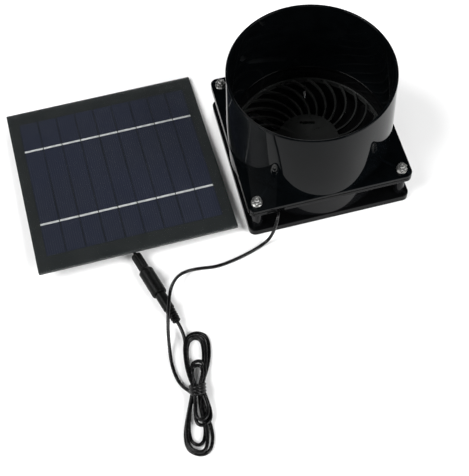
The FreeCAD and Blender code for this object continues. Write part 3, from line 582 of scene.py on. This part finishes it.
def posts():
    """The hollow posts round the bolts, between the flanges."""
    outline = [(BOLT_HOLE_R, FLANGE_LOW_TOP), (POST_R, FLANGE_LOW_TOP), (POST_R, FLANGE_TOP_BOTTOM),
               (BOLT_HOLE_R, FLANGE_TOP_BOTTOM)]
    pieces = [lathe("post", outline, centre, ROD_SEGMENTS) for centre in corners()]
    stands_for(joined("corner_posts", pieces), "frame_posts", "housing", "fan_black_plastic")


# Spiral guard ----------------

RIB_COUNT = 28
RIB_HALF = 0.95 * MM
RIB_EDGE = 0.55 * MM
RIB_BOTTOM = 16.8 * MM
RIB_IN_HUB = 0.6 * MM          # how far its ends reach into the hub and the ring
RIB_IN_RING = 0.8 * MM
GUARD_TOP = 20.0 * MM
RING_R = 71.4 * MM
RING_INNER_R = 69.8 * MM
RING_TOP = 21.0 * MM
RING_EDGE = 0.4 * MM
HUB_R = 29.0 * MM
HUB_EDGE = 0.7 * MM
HUB_DISC_T = 2.5 * MM
HUB_SKIRT_T = 1.7 * MM
HUB_SKIRT_BOTTOM = 15.5 * MM
TUBE_R = 4.0 * MM
RIB_MID_R = 50.0 * MM
RIB_START = math.radians(3.9)
RIB_ROOT_TURN = math.radians(-10.3)
RIB_TIP_TURN = math.radians(18.9)
RIB_STEPS = 24
SLOT_AT = Vector((4.8, 18.5)) * MM
SLOT_LENGTH = 15.0 * MM
SLOT_WIDTH = 3.0 * MM
SLOT_TURN = math.radians(-15.5)
SLOT_END_STEPS = 8


def arc_through(a, b, c):
    """Centre of the circle through three points."""
    ax, ay, bx, by, cx, cy = a.x, a.y, b.x, b.y, c.x, c.y
    d = 2 * (ax * (by - cy) + bx * (cy - ay) + cx * (ay - by))
    aa, bb, cc = ax * ax + ay * ay, bx * bx + by * by, cx * cx + cy * cy
    return Vector(((aa * (by - cy) + bb * (cy - ay) + cc * (ay - by)) / d,
                   (aa * (cx - bx) + bb * (ax - cx) + cc * (bx - ax)) / d))


def polar(radius, turn):
    return Vector((radius * math.cos(turn), radius * math.sin(turn)))


def rib(bm, turn):
    """One swirled rib with a rounded top, from the hub out to the ring."""
    start = RIB_START + turn
    root = polar(HUB_R - RIB_IN_HUB, start + RIB_ROOT_TURN)
    tip = polar(RING_INNER_R + RIB_IN_RING, start + RIB_TIP_TURN)
    centre = arc_through(root, polar(RIB_MID_R, start), tip)
    first, last = root - centre, tip - centre
    sweep = first.angle_signed(last)
    section = soft([(-RIB_HALF, RIB_BOTTOM), (-RIB_HALF, GUARD_TOP, RIB_EDGE),
                    (RIB_HALF, GUARD_TOP, RIB_EDGE), (RIB_HALF, RIB_BOTTOM)])
    rings = []
    for i in range(RIB_STEPS + 1):
        spoke = first.copy()
        spoke.rotate(Matrix.Rotation(-sweep * i / RIB_STEPS, 2))
        sideways = spoke.normalized()
        ring = []
        for across, z in section:
            at = centre + spoke + sideways * across
            ring.append(bm.verts.new((FAN.x + at.x, FAN.y + at.y, z)))
        rings.append(ring)
    stitch(bm, rings, closed=False)
    bm.faces.new(rings[0])
    bm.faces.new(rings[-1])


def slot_cutter():
    """Cutter for the round-ended slot in the hub's face."""
    along = polar(1.0, SLOT_TURN)
    across = Vector((-along.y, along.x))
    outline = []
    for side in (1.0, -1.0):
        end = Vector((FAN.x, FAN.y)) + SLOT_AT + along * side * (SLOT_LENGTH - SLOT_WIDTH) / 2
        for i in range(SLOT_END_STEPS + 1):
            a = math.pi * i / SLOT_END_STEPS - math.pi / 2
            outline.append(end + (along * math.cos(a) + across * math.sin(a)) * side * SLOT_WIDTH / 2)
    bm = bmesh.new()
    prism(bm, outline, GUARD_TOP - 2 * HUB_DISC_T, GUARD_TOP + PAST)
    return new_piece("slot", bm, smooth=False)


def hub():
    """The guard's cover over the motor, a cup open downwards."""
    piece = lathe("hub", [
        (TUBE_R, GUARD_TOP - HUB_DISC_T), (TUBE_R, GUARD_TOP),
        (HUB_R, GUARD_TOP, HUB_EDGE), (HUB_R, HUB_SKIRT_BOTTOM),
        (HUB_R - HUB_SKIRT_T, HUB_SKIRT_BOTTOM), (HUB_R - HUB_SKIRT_T, GUARD_TOP - HUB_DISC_T),
    ], FAN)
    carve(piece, slot_cutter())
    return piece


def guard():
    """Hub cover, ribs and outer ring of the spiral guard."""
    cover = hub()
    ring = lathe("ring", [
        (RING_INNER_R, LEDGE_Z), (RING_R, LEDGE_Z), (RING_R, RING_TOP, RING_EDGE),
        (RING_INNER_R, RING_TOP, RING_EDGE),
    ], FAN)
    bm = bmesh.new()
    for i in range(RIB_COUNT):
        rib(bm, 2 * math.pi * i / RIB_COUNT)
    ribs = new_piece("ribs", bm)
    stands_for(joined("guard", [cover, ring, ribs]), "spiral_guard", "housing", "guard_plastic")


# Fasteners -------------------

BOLT_R = 2.5 * MM
THREAD_PITCH = 0.8 * MM
THREAD_DEPTH = 0.22 * MM
THREAD_END = 0.7 * MM          # below the bolt's end
BOLT_HEAD_R = 4.6 * MM
BOLT_HEAD_T = 3.2 * MM
BOLT_HEAD_RIM = 1.6 * MM
BOLT_HEAD_FACE_R = 2.6 * MM
DIMPLE_R = 1.1 * MM            # in the bolt's end
DIMPLE_FLOOR_R = 0.7 * MM
DIMPLE_DEPTH = 0.5 * MM
WASHER_R = 5.0 * MM
WASHER_HOLE_R = 2.65 * MM
WASHER_T = 1.0 * MM
WASHER_EDGE = 0.25 * MM
NUT_FLATS = 8.0 * MM
NUT_T = 4.0 * MM
NUT_FACE = 0.97                # radius of a face's flat ring, as a share of half the flats
NUT_LOW_CHAMFER = 0.55 * MM
NUT_HIGH_CHAMFER = 0.75 * MM
NUT_SINK = 0.5 * MM            # of the bore's countersink
NUT_SINK_W = 0.45 * MM
BOLT_PROUD = 1.4 * MM
NUT_TURNS = (12, 41, 5, 27)
NUT_SEGMENTS = 72
NUT_TOP = PLATE_TOP + WASHER_T + NUT_T


def bolt(centre):
    """A threaded bolt end above the nut, with its shank and rounded head below."""
    top = NUT_TOP + BOLT_PROUD
    outline = [
        (0.0, POCKET_DEPTH - BOLT_HEAD_T), (BOLT_HEAD_FACE_R, POCKET_DEPTH - BOLT_HEAD_T, 0.8 * MM),
        (BOLT_HEAD_R, POCKET_DEPTH - BOLT_HEAD_RIM, 0.6 * MM), (BOLT_HEAD_R, POCKET_DEPTH, 0.2 * MM),
        (BOLT_R, POCKET_DEPTH),
    ]
    z = NUT_TOP - 2 * THREAD_PITCH
    while z < top - THREAD_END:
        outline.append((BOLT_R - THREAD_DEPTH, z))
        outline.append((BOLT_R, z + THREAD_PITCH / 2))
        z += THREAD_PITCH
    outline += [(BOLT_R - 0.5 * MM, top), (DIMPLE_R, top), (DIMPLE_FLOOR_R, top - DIMPLE_DEPTH),
                (0.0, top - DIMPLE_DEPTH)]
    return lathe("bolt", outline, centre, segments=ROD_SEGMENTS)


def nut(centre, degrees):
    """A hexagon nut: its flats, with the corners turned off at both faces and a countersunk bore."""
    bottom = PLATE_TOP + WASHER_T
    apothem = NUT_FLATS / 2
    face_r = apothem * NUT_FACE
    past_corner = 2 * apothem
    rows = [
        (BOLT_R, bottom), (face_r, bottom), (past_corner, bottom + NUT_LOW_CHAMFER),
        (past_corner, NUT_TOP - NUT_HIGH_CHAMFER), (face_r, NUT_TOP), (BOLT_R + NUT_SINK_W, NUT_TOP),
        (BOLT_R, NUT_TOP - NUT_SINK),
    ]
    bm = bmesh.new()
    rings = []
    for limit, z in rows:
        ring = []
        for i in range(NUT_SEGMENTS):
            turn = 2 * math.pi * i / NUT_SEGMENTS
            inside = (turn + math.pi / 6) % (math.pi / 3) - math.pi / 6
            reach = min(limit, apothem / math.cos(inside))
            a = turn + math.radians(degrees) + math.pi / 6
            ring.append(bm.verts.new(on_circle(centre, reach, a, z)))
        rings.append(ring)
    stitch(bm, rings, closed=True)
    return new_piece("nut", bm)


def washer(centre):
    top = PLATE_TOP + WASHER_T
    return lathe("washer", [
        (WASHER_HOLE_R, PLATE_TOP), (WASHER_R, PLATE_TOP), (WASHER_R, top, WASHER_EDGE),
        (WASHER_HOLE_R, top),
    ], centre, segments=64)


def fasteners():
    bolts = [bolt(centre) for centre in corners()]
    stands_for(joined("bolts", bolts), "corner_bolts", "housing", "zinc_steel")
    washers = [washer(centre) for centre in corners()]
    stands_for(joined("washers", washers), "corner_washers", "housing", "zinc_steel")
    nuts = [nut(centre, turn) for centre, turn in zip(corners(), NUT_TURNS)]
    stands_for(joined("nuts", nuts), "corner_nuts", "housing", "zinc_steel")


# Connector -------------------

UNPLUG = next(joint for joint in frame["joints"] if joint["name"] == "unplug")
INWARD = Vector(UNPLUG["axis"]).normalized()       # from the plug into the socket
CONTACT_MIDDLE = 5.75 * MM                         # from the socket's mouth to its contact's middle
MOUTH = middle("socket_contact") - INWARD * CONTACT_MIDDLE
LIE = Matrix.Translation(MOUTH) @ (-INWARD).to_track_quat("Z", "Y").to_matrix().to_4x4()

# Lengths run from the socket's mouth: down into the socket, and up along the plug.
SOCKET_R = 6.7 * MM
SOCKET_LENGTH = 28.0 * MM
NECK_R = 4.45 * MM
NECK_LENGTH = 17.0 * MM
NECK_ROWS = 9
FLUTES = 14
FLUTE_DEPTH = 0.22 * MM
SOCKET_BORE_R = 3.2 * MM
SOCKET_DEPTH = 11.0 * MM
CORD_HOLE_R = CORD_D / 2 * MM
CORD_HOLE_DEPTH = 5.5 * MM
PLUG_R = 4.9 * MM
PLUG_LENGTH = 17.5 * MM
PLUG_END = 31.0 * MM
RELIEF_START_R = 4.4 * MM
RELIEF_END_R = 3.7 * MM
RELIEF_GROOVE_R = 2.2 * MM
RELIEF_RIBS = 5
RELIEF_PITCH = 2.6 * MM
RELIEF_FIRST = 18.4 * MM
RELIEF_RIB_L = 1.4 * MM
RELIEF_EDGE = 0.35 * MM
BARREL_BORE_R = 2.75 * MM
BARREL_ROOT = 5.0 * MM


def socket():
    """In-line socket: a wide shell with a rounded mouth, and a fluted neck."""
    back = -SOCKET_LENGTH
    end = back - NECK_LENGTH
    outline = [
        (0.0, -SOCKET_DEPTH), (SOCKET_BORE_R, -SOCKET_DEPTH), (SOCKET_BORE_R, 0.0, 0.2 * MM),
        (SOCKET_R - 0.5 * MM, 0.0, 0.4 * MM), (SOCKET_R, -1.2 * MM, 0.6 * MM),
        (SOCKET_R, back + 2.0 * MM, 1.2 * MM), (NECK_R, back, 0.3 * MM),
    ]
    for i in range(1, NECK_ROWS):
        outline.append((NECK_R, back - NECK_LENGTH * i / NECK_ROWS))
    outline += [(NECK_R, end, 0.6 * MM), (CORD_HOLE_R, end), (CORD_HOLE_R, end + CORD_HOLE_DEPTH),
                (0.0, end + CORD_HOLE_DEPTH)]
    flutes = dict(low=end + 1.0 * MM, high=back - 1.5 * MM, depth=-FLUTE_DEPTH, count=FLUTES)
    piece = lathe("socket_shell", outline, segments=112, flutes=flutes)
    place(piece, LIE)
    stands_for(piece, "socket_body", "panel", "connector_plastic")


def plug():
    """Moulded plug grip with its ribbed strain relief."""
    outline = [
        (0.0, BARREL_ROOT), (BARREL_BORE_R, BARREL_ROOT), (BARREL_BORE_R, 0.0),
        (PLUG_R, 0.0, 0.5 * MM), (PLUG_R, PLUG_LENGTH - 0.8 * MM, 0.5 * MM),
        (RELIEF_GROOVE_R + 0.2 * MM, PLUG_LENGTH + 0.2 * MM, 0.2 * MM),
    ]
    for i in range(RELIEF_RIBS):
        radius = mix(RELIEF_START_R, RELIEF_END_R, i / (RELIEF_RIBS - 1))
        low = RELIEF_FIRST + i * RELIEF_PITCH
        high = low + RELIEF_RIB_L
        outline += [(RELIEF_GROOVE_R, low), (radius, low, RELIEF_EDGE), (radius, high, RELIEF_EDGE),
                    (RELIEF_GROOVE_R, high)]
    hole_floor = PLUG_END - 1.0 * MM
    outline += [(RELIEF_GROOVE_R, PLUG_END, 0.4 * MM), (CORD_HOLE_R, PLUG_END),
                (CORD_HOLE_R, hole_floor), (0.0, hole_floor)]
    piece = lathe("plug_grip", outline, segments=96)
    place(piece, LIE)
    stands_for(piece, "plug_body", "housing", "connector_plastic")


# Panel -----------------------

PANEL_W = 181.2 * MM
PANEL_H = 182.3 * MM
FRONT_T = 0.35 * MM            # clear sheet above the cells
SKIRT_W = 1.2 * MM
SKIRT_T = 0.79 * MM
SHEET_CORNER_R = 1.0 * MM
LEAST_SHEET_CORNER_R = 0.2 * MM
SHEET_CORNER_STEPS = 4
PANEL_YAW = math.radians(1.39)
PANEL_SIDE_TILT = math.radians(1.77)
PANEL_NEAR_TILT = math.radians(-2.83)
HALF_LAMINATE = 0.4 * MM       # from the middle of the CAD's sheet to its face


def panel_matrix():
    """From the panel's own axes, with its face at z = 0, to the frame's."""
    turn = (Matrix.Rotation(PANEL_YAW, 4, "Z") @ Matrix.Rotation(PANEL_SIDE_TILT, 4, "Y")
            @ Matrix.Rotation(PANEL_NEAR_TILT, 4, "X"))
    to_face = Matrix.Translation((0.0, 0.0, HALF_LAMINATE))
    return Matrix.Translation(middle("panel_laminate")) @ turn @ to_face


def sheet_ring(bm, inset, z):
    """The panel's outline, moved in by inset, as a ring of points."""
    radius = max(SHEET_CORNER_R - inset, LEAST_SHEET_CORNER_R)
    straight_x, straight_y = PANEL_W / 2 - inset - radius, PANEL_H / 2 - inset - radius
    ring = []
    for quarter, (x, y) in enumerate(((1, 1), (-1, 1), (-1, -1), (1, -1))):
        corner = (x * straight_x, y * straight_y)
        for i in range(SHEET_CORNER_STEPS + 1):
            turn = math.pi / 2 * (quarter + i / SHEET_CORNER_STEPS)
            ring.append(bm.verts.new(on_circle(corner, radius, turn, z)))
    return ring


def laminate():
    """Clear front sheet, turned down at its edges over the cells."""
    bm = bmesh.new()
    rows = [
        (SKIRT_W, -SKIRT_T), (0.0, -SKIRT_T), (0.0, -0.2 * MM), (0.06 * MM, -0.06 * MM), (0.2 * MM, 0.0),
        (0.8 * MM, 0.0),       # keeps the rounding's shade off the flat face
    ]
    rings = [sheet_ring(bm, inset, z) for inset, z in rows]
    under = sheet_ring(bm, SKIRT_W, -FRONT_T)
    stitch(bm, [under] + rings, closed=False)
    bm.faces.new(rings[-1])
    bm.faces.new(under)
    piece = new_piece("front_sheet", bm)
    place(piece, panel_matrix())
    stands_for(piece, "panel_laminate", "panel", "panel_clear")


collar()
plate()
lower_flange()
upper_flange()
barrel()
posts()
guard()
fasteners()
socket()
plug()
laminate()

# Materials -------------------


class Look:
    """A material being built: its surface shader, over the piece's own coordinates in metres."""

    def __init__(self, name, roughness=0.5, metallic=0.0, specular=0.5):
        self.material = bpy.data.materials.new(name)
        self.material.use_nodes = True
        self.tree = self.material.node_tree
        self.surface = self.tree.nodes["Principled BSDF"]
        self.set(self.surface, "Roughness", roughness)
        self.set(self.surface, "Metallic", metallic)
        self.set(self.surface, "Specular IOR Level", specular)
        self.coords = self.node("ShaderNodeTexCoord").outputs["Object"]
        self.height = None

    def node(self, kind, **settings):
        made = self.tree.nodes.new(kind)
        for key, value in settings.items():
            setattr(made, key, value)
        return made

    def set(self, node, key, value):
        """Give an input a value, or link it to another node's output."""
        if isinstance(value, bpy.types.NodeSocket):
            self.tree.links.new(value, node.inputs[key])
        else:
            node.inputs[key].default_value = value

    def turned(self, matrix):
        """Coordinates in the axes of a tilted part."""
        location, rotation, _ = matrix.inverted().decompose()
        mapping = self.node("ShaderNodeMapping")
        self.set(mapping, "Vector", self.coords)
        self.set(mapping, "Location", location)
        self.set(mapping, "Rotation", rotation.to_euler())
        self.coords = mapping.outputs["Vector"]

    def noise(self, size, detail=3.0, stretch=None):
        """Noise whose blotches are about this size."""
        made = self.node("ShaderNodeTexNoise")
        coords = self.coords
        if stretch:
            mapping = self.node("ShaderNodeMapping")
            self.set(mapping, "Vector", coords)
            self.set(mapping, "Scale", stretch)
            coords = mapping.outputs["Vector"]
        self.set(made, "Vector", coords)
        self.set(made, "Scale", 1.0 / size)
        self.set(made, "Detail", detail)
        return made.outputs["Fac"]

    def cells(self, size, feature="F1"):
        """Irregular cells of about this size."""
        made = self.node("ShaderNodeTexVoronoi", feature=feature)
        self.set(made, "Vector", self.coords)
        self.set(made, "Scale", 1.0 / size)
        return made

    def bands(self, pitch, direction="X", kind="BANDS"):
        """Even bands across the given axis, 0 to 1 and back over each pitch."""
        made = self.node("ShaderNodeTexWave", wave_type=kind, wave_profile="SIN")
        if kind == "BANDS":
            made.bands_direction = direction
        else:
            made.rings_direction = direction
        self.set(made, "Vector", self.coords)
        self.set(made, "Scale", math.pi / 10 / pitch)
        return made.outputs["Fac"]

    def grey(self, color):
        made = self.node("ShaderNodeRGBToBW")
        self.set(made, "Color", color)
        return made.outputs["Val"]

    def between(self, value, low, high, start=0.35, end=0.65):
        """The value spread from start..end over low..high."""
        made = self.node("ShaderNodeMapRange")
        self.set(made, "Value", value)
        self.set(made, "From Min", start)
        self.set(made, "From Max", end)
        self.set(made, "To Min", low)
        self.set(made, "To Max", high)
        return made.outputs["Result"]

    def blend(self, share, first, second):
        """From the first colour to the second. A mix node's own colours are inputs 6 and 7."""
        made = self.node("ShaderNodeMix", data_type="RGBA")
        self.set(made, "Factor", share)
        for key, value in ((6, first), (7, second)):
            if isinstance(value, tuple):
                value = (*value, 1.0)
            self.set(made, key, value)
        return made.outputs[2]

    def color(self, value):
        self.set(self.surface, "Base Color", value)

    def roughness(self, value, low, high):
        self.set(self.surface, "Roughness", self.between(value, low, high))

    def bump(self, height, depth):
        """Relief of the given depth in metres, over any relief set before."""
        made = self.node("ShaderNodeBump")
        self.set(made, "Height", height)
        self.set(made, "Distance", depth)
        if self.height is not None:
            self.set(made, "Normal", self.height)
        self.height = made.outputs["Normal"]
        self.set(self.surface, "Normal", self.height)


def shade(color, factor):
    return tuple(c * factor for c in color)


def moulded(name, color, roughness, grain, specular=0.5, mottle=12 * MM, ripple=None):
    """Moulded plastic: faint mottling, convex edges painted lighter as a highlight, fine grain and wandering
    roughness.
    """
    look = Look(name, specular=specular)
    mottling = look.between(look.noise(mottle), 0.0, 1.0)
    tone = look.blend(mottling, shade(color, 0.8), shade(color, 1.25))
    # painted highlight: convex edges, where pointiness is high, take 2.2 times the colour
    edge = look.node("ShaderNodeNewGeometry").outputs["Pointiness"]
    look.color(look.blend(look.between(edge, 0.0, 1.0, 0.53, 0.60), tone, shade(color, 2.2)))
    look.roughness(look.noise(mottle / 3), roughness * 0.8, roughness * 1.3)
    size, depth = grain
    look.bump(look.noise(size, 2.0), depth)
    if ripple:
        size, depth = ripple
        look.bump(look.noise(size, 1.0, (1.0, 1.0, 0.35)), depth)
    return look.material


def metal(name, color, roughness, grain, streak=None):
    """Bare or plated metal, with small spangles of tone and fine marks."""
    look = Look(name, metallic=1.0)
    spangle = look.between(look.grey(look.cells(grain * 3).outputs["Color"]), 0.0, 1.0, 0.2, 0.8)
    look.color(look.blend(spangle, shade(color, 0.8), shade(color, 1.1)))
    marks = look.noise(grain, 4.0, streak)
    look.roughness(marks, roughness * 0.7, roughness * 1.35)
    look.bump(marks, grain * 0.03)
    return look.material


def gloss_black_plastic():
    return moulded("gloss_black_plastic", (0.0011, 0.0015, 0.0018), 0.035, (0.9 * MM, 0.0006 * MM),
                   specular=0.06, ripple=(42 * MM, 0.003 * MM))


def fan_black_plastic():
    return moulded("fan_black_plastic", (0.0018, 0.0019, 0.0021), 0.10, (0.5 * MM, 0.002 * MM),
                   specular=0.05)


def guard_plastic():
    return moulded("guard_plastic", (0.0150, 0.0158, 0.0153), 0.34, (0.35 * MM, 0.008 * MM),
                   specular=0.25)


def impeller_plastic():
    return moulded("impeller_plastic", (0.0010, 0.0010, 0.0012), 0.38, (0.4 * MM, 0.008 * MM),
                   specular=0.12)


def connector_plastic():
    return moulded("connector_plastic", (0.0017, 0.0019, 0.0018), 0.36, (0.45 * MM, 0.02 * MM),
                   specular=0.10, mottle=5 * MM)


def connector_insulator():
    return moulded("connector_insulator", (0.02, 0.02, 0.02), 0.35, (0.4 * MM, 0.01 * MM), mottle=3 * MM)


def box_plastic():
    return moulded("box_plastic", (0.012, 0.012, 0.013), 0.45, (0.5 * MM, 0.03 * MM))


def chip_plastic():
    return moulded("chip_plastic", (0.016, 0.016, 0.018), 0.55, (0.15 * MM, 0.01 * MM), mottle=2 * MM)


def coil_former():
    return moulded("coil_former", (0.62, 0.60, 0.54), 0.42, (0.4 * MM, 0.008 * MM), mottle=4 * MM)


def cord_jacket():
    return moulded("cord_jacket", (0.0018, 0.0018, 0.0020), 0.24, (0.8 * MM, 0.01 * MM),
                   specular=0.20, mottle=9 * MM)


def zinc_steel():
    return metal("zinc_steel", (0.44, 0.44, 0.43), 0.26, 0.25 * MM)


def bearing_bronze():
    return metal("bearing_bronze", (0.48, 0.33, 0.17), 0.38, 0.12 * MM)


def hard_steel():
    return metal("hard_steel", (0.52, 0.53, 0.55), 0.24, 0.4 * MM, (1.0, 1.0, 8.0))


def connector_nickel():
    return metal("connector_nickel", (0.74, 0.73, 0.70), 0.16, 0.3 * MM, (8.0, 8.0, 1.0))


def ribbon_metal():
    """Solder-coated ribbon: dull silver with brighter and darker patches."""
    look = Look("ribbon_metal", metallic=0.15)
    look.turned(panel_matrix())
    patches = look.noise(1.6 * MM, 3.0, (0.4, 1.0, 1.0))
    look.color(look.blend(look.between(patches, 0.0, 1.0), (0.68, 0.69, 0.70), (0.94, 0.95, 0.96)))
    look.roughness(patches, 0.35, 0.6)
    look.bump(patches, 0.06 * MM)
    return look.material


def tinned_copper():
    return metal("tinned_copper", (0.70, 0.69, 0.66), 0.3, 0.6 * MM)


def lamination_steel():
    """Stacked sheets seen edge on."""
    look = Look("lamination_steel", metallic=0.9)
    sheets = look.bands(0.5 * MM, "Z")
    look.color(look.blend(sheets, (0.12, 0.12, 0.13), (0.36, 0.36, 0.38)))
    look.roughness(look.noise(2 * MM), 0.35, 0.6)
    look.bump(sheets, 0.03 * MM)
    return look.material


def copper_wire():
    """Enamelled turns side by side along each pole, with painted shade in the grooves between turns and a painted
    highlight on each crown.
    """
    look = Look("copper_wire", metallic=0.85)
    look.turned(Matrix.Translation((FAN.x, FAN.y, 0.0)))
    turns = look.bands(0.36 * MM, "Z", "RINGS")
    # painted shade and highlight: dark in the grooves between turns, bright on each turn's crown
    look.color(look.blend(turns, (0.20, 0.06, 0.02), (0.72, 0.32, 0.13)))
    look.roughness(look.noise(3 * MM), 0.22, 0.4)
    look.bump(turns, 0.08 * MM)
    return look.material


def circuit_board():
    """Green mask over copper tracks."""
    look = Look("circuit_board")
    edges = look.cells(3.2 * MM, "DISTANCE_TO_EDGE").outputs["Distance"]
    track = look.between(edges, 1.0, 0.0, 0.05, 0.09)
    look.color(look.blend(track, (0.003, 0.012, 0.008), (0.008, 0.026, 0.017)))
    look.roughness(look.noise(2 * MM), 0.22, 0.38)
    look.bump(track, 0.03 * MM)
    return look.material


def ferrite():
    """Bonded magnet: dark and granular."""
    look = Look("ferrite")
    grains = look.cells(0.35 * MM).outputs["Distance"]
    share = look.between(grains, 0.0, 1.0, 0.2, 0.7)
    look.color(look.blend(share, (0.028, 0.027, 0.026), (0.07, 0.066, 0.062)))
    look.roughness(look.noise(1.5 * MM), 0.5, 0.75)
    look.bump(grains, 0.02 * MM)
    return look.material


WEAVE_PITCH = 1.1 * MM


def panel_backing():
    """Fibreglass board, with its weave just showing."""
    look = Look("panel_backing", specular=0.35)
    look.turned(panel_matrix())
    weave = look.node("ShaderNodeMath", operation="MULTIPLY")
    look.set(weave, 0, look.bands(WEAVE_PITCH, "X"))
    look.set(weave, 1, look.bands(WEAVE_PITCH, "Y"))
    patches = look.between(look.noise(40 * MM), 0.0, 1.0)
    tone = look.blend(patches, (0.0240, 0.0275, 0.0290), (0.0265, 0.0300, 0.0315))
    threads = look.between(weave.outputs["Value"], 0.0, 0.3, 0.0, 1.0)
    look.color(look.blend(threads, tone, (0.029, 0.033, 0.0345)))
    look.roughness(look.noise(15 * MM), 0.42, 0.6)
    look.bump(weave.outputs["Value"], 0.02 * MM)
    return look.material


CELL_PITCH = 17.95 * MM        # the bands peak on the gaps between cells
CELL_EDGE = (0.975, 0.996)
FINGER_PITCH = CELL_PITCH / 9
FINGER_SHARP = (0.90, 0.97)


def silicon():
    """Dark blue cells, faintly crystalline, with fine silver fingers along each strip."""
    look = Look("silicon", specular=0.35)
    look.turned(panel_matrix())
    crystals = look.between(look.grey(look.cells(7 * MM).outputs["Color"]), 0.0, 1.0, 0.1, 0.9)
    tone = look.blend(crystals, (0.0285, 0.0320, 0.0510), (0.0310, 0.0350, 0.0545))
    edges = look.between(look.bands(CELL_PITCH, "X"), 0.0, 0.85, *CELL_EDGE)
    tone = look.blend(edges, tone, (0.0170, 0.0205, 0.0235))
    clouds = look.between(look.noise(60 * MM), 0.0, 0.7, 0.3, 0.7)
    tone = look.blend(clouds, tone, (0.0245, 0.0290, 0.0560))
    fingers = look.between(look.bands(FINGER_PITCH, "X"), 0.0, 0.55, *FINGER_SHARP)
    look.color(look.blend(fingers, tone, (0.078, 0.088, 0.108)))
    look.roughness(look.noise(10 * MM), 0.28, 0.42)
    look.bump(fingers, 0.02 * MM)
    return look.material


CLEAR_IOR = 1.30               # lower than glass, for a faint sheen


def panel_clear():
    """Clear front sheet: lets the cells show, with a soft satin sheen."""
    look = Look("panel_clear")
    clear = look.node("ShaderNodeBsdfTransparent")
    look.set(clear, "Color", (0.97, 0.975, 0.97, 1.0))
    sheen = look.node("ShaderNodeBsdfGlossy")
    look.set(sheen, "Roughness", look.between(look.noise(5 * MM), 0.16, 0.26))
    relief = look.node("ShaderNodeBump")
    look.set(relief, "Height", look.noise(0.8 * MM, 2.0))
    look.set(relief, "Distance", 0.01 * MM)
    look.set(sheen, "Normal", relief.outputs["Normal"])
    edge = look.node("ShaderNodeFresnel")
    look.set(edge, "IOR", CLEAR_IOR)
    both = look.node("ShaderNodeMixShader")
    look.set(both, 0, edge.outputs["Fac"])
    look.set(both, 1, clear.outputs["BSDF"])
    look.set(both, 2, sheen.outputs["BSDF"])
    look.set(look.tree.nodes["Material Output"], "Surface", both.outputs["Shader"])
    look.tree.nodes.remove(look.surface)
    return look.material


LOOKS = {make.__name__: make() for make in (
    gloss_black_plastic, fan_black_plastic, guard_plastic, impeller_plastic, connector_plastic,
    connector_insulator, box_plastic, chip_plastic, coil_former, cord_jacket, zinc_steel, bearing_bronze,
    hard_steel, connector_nickel, ribbon_metal, tinned_copper, lamination_steel, copper_wire,
    circuit_board, ferrite, panel_backing, silicon, panel_clear,
)}


def finish_with(piece, slot):
    """Give the piece its slot's look."""
    piece.data.materials.clear()
    piece.data.materials.append(LOOKS[slot])


for subpart in frame["record"]["subparts"]:
    finish_with(NODES[subpart["node"]], subpart["material_slot"])
for piece, slot in SLOT_PIECES:
    finish_with(piece, slot)


def soften(node, width):
    """Rounded edges on a moulded box that keeps its CAD shape."""
    weld = NODES[node].modifiers.new("weld", "WELD")
    weld.merge_threshold = MERGED
    bevel = NODES[node].modifiers.new("soft_edges", "BEVEL")
    bevel.width = width
    bevel.segments = 3
    bevel.limit_method = "ANGLE"
    bevel.angle_limit = math.radians(50)
    bevel.harden_normals = True


for node in ("junction_box", "junction_box_lid"):
    soften(node, 0.3 * MM)

# Studio ----------------------

FLOOR_HALF = 10.0
FLOOR_TONES = ((0.90, 0.90, 0.90), (0.93, 0.93, 0.93))
FLOOR_PATCH = 0.3
LIGHT_BREADTH = math.radians(34)
HORIZON = (0.12, 0.55)         # the sky is pale up to the first height and dim above the second
SKY_PALE, SKY_DIM = 0.9, 0.0015
LAMPS = {
    "left": ((-1.35, -0.1, 1.6), 3.2),
    "right": ((1.3, -1.2, 1.3), 2.8),
    "front": ((-0.5, -1.9, 0.9), 0.8),
    "back": ((0.9, 1.9, 0.8), 1.8),
}


def studio_floor():
    bm = bmesh.new()
    bmesh.ops.create_grid(bm, x_segments=1, y_segments=1, size=FLOOR_HALF)
    floor = new_piece("floor", bm, smooth=False)
    look = Look("floor_paper", roughness=0.8, specular=0.1)
    look.color(look.blend(look.between(look.noise(FLOOR_PATCH), 0.0, 1.0), *FLOOR_TONES))
    floor.data.materials.append(look.material)


def soft_light(name, side, strength):
    """A far, broad light that shines from that side on the object and all of the floor."""
    data = bpy.data.lights.new(name, "SUN")
    data.energy = strength
    data.angle = LIGHT_BREADTH
    lamp = bpy.data.objects.new(name, data)
    bpy.context.scene.collection.objects.link(lamp)
    lamp.rotation_euler = (-Vector(side)).to_track_quat("-Z", "Y").to_euler()


def studio_sky():
    """Pale round the horizon and dim overhead, so that level faces stay dark."""
    world = bpy.data.worlds.new("studio")
    bpy.context.scene.world = world
    world.use_nodes = True
    nodes, links = world.node_tree.nodes, world.node_tree.links
    coords = nodes.new("ShaderNodeTexCoord")
    split = nodes.new("ShaderNodeSeparateXYZ")
    strength = nodes.new("ShaderNodeMapRange")
    for key, value in zip(("From Min", "From Max", "To Min", "To Max"), (*HORIZON, SKY_PALE, SKY_DIM)):
        strength.inputs[key].default_value = value
    links.new(coords.outputs["Generated"], split.inputs["Vector"])
    links.new(split.outputs["Z"], strength.inputs["Value"])
    links.new(strength.outputs["Result"], nodes["Background"].inputs["Strength"])
    nodes["Background"].inputs["Color"].default_value = (1.0, 1.0, 1.0, 1.0)


studio_floor()
studio_sky()
for name, (side, strength) in LAMPS.items():
    soft_light(name, side, strength)
bpy.context.scene.view_settings.view_transform = "Standard"
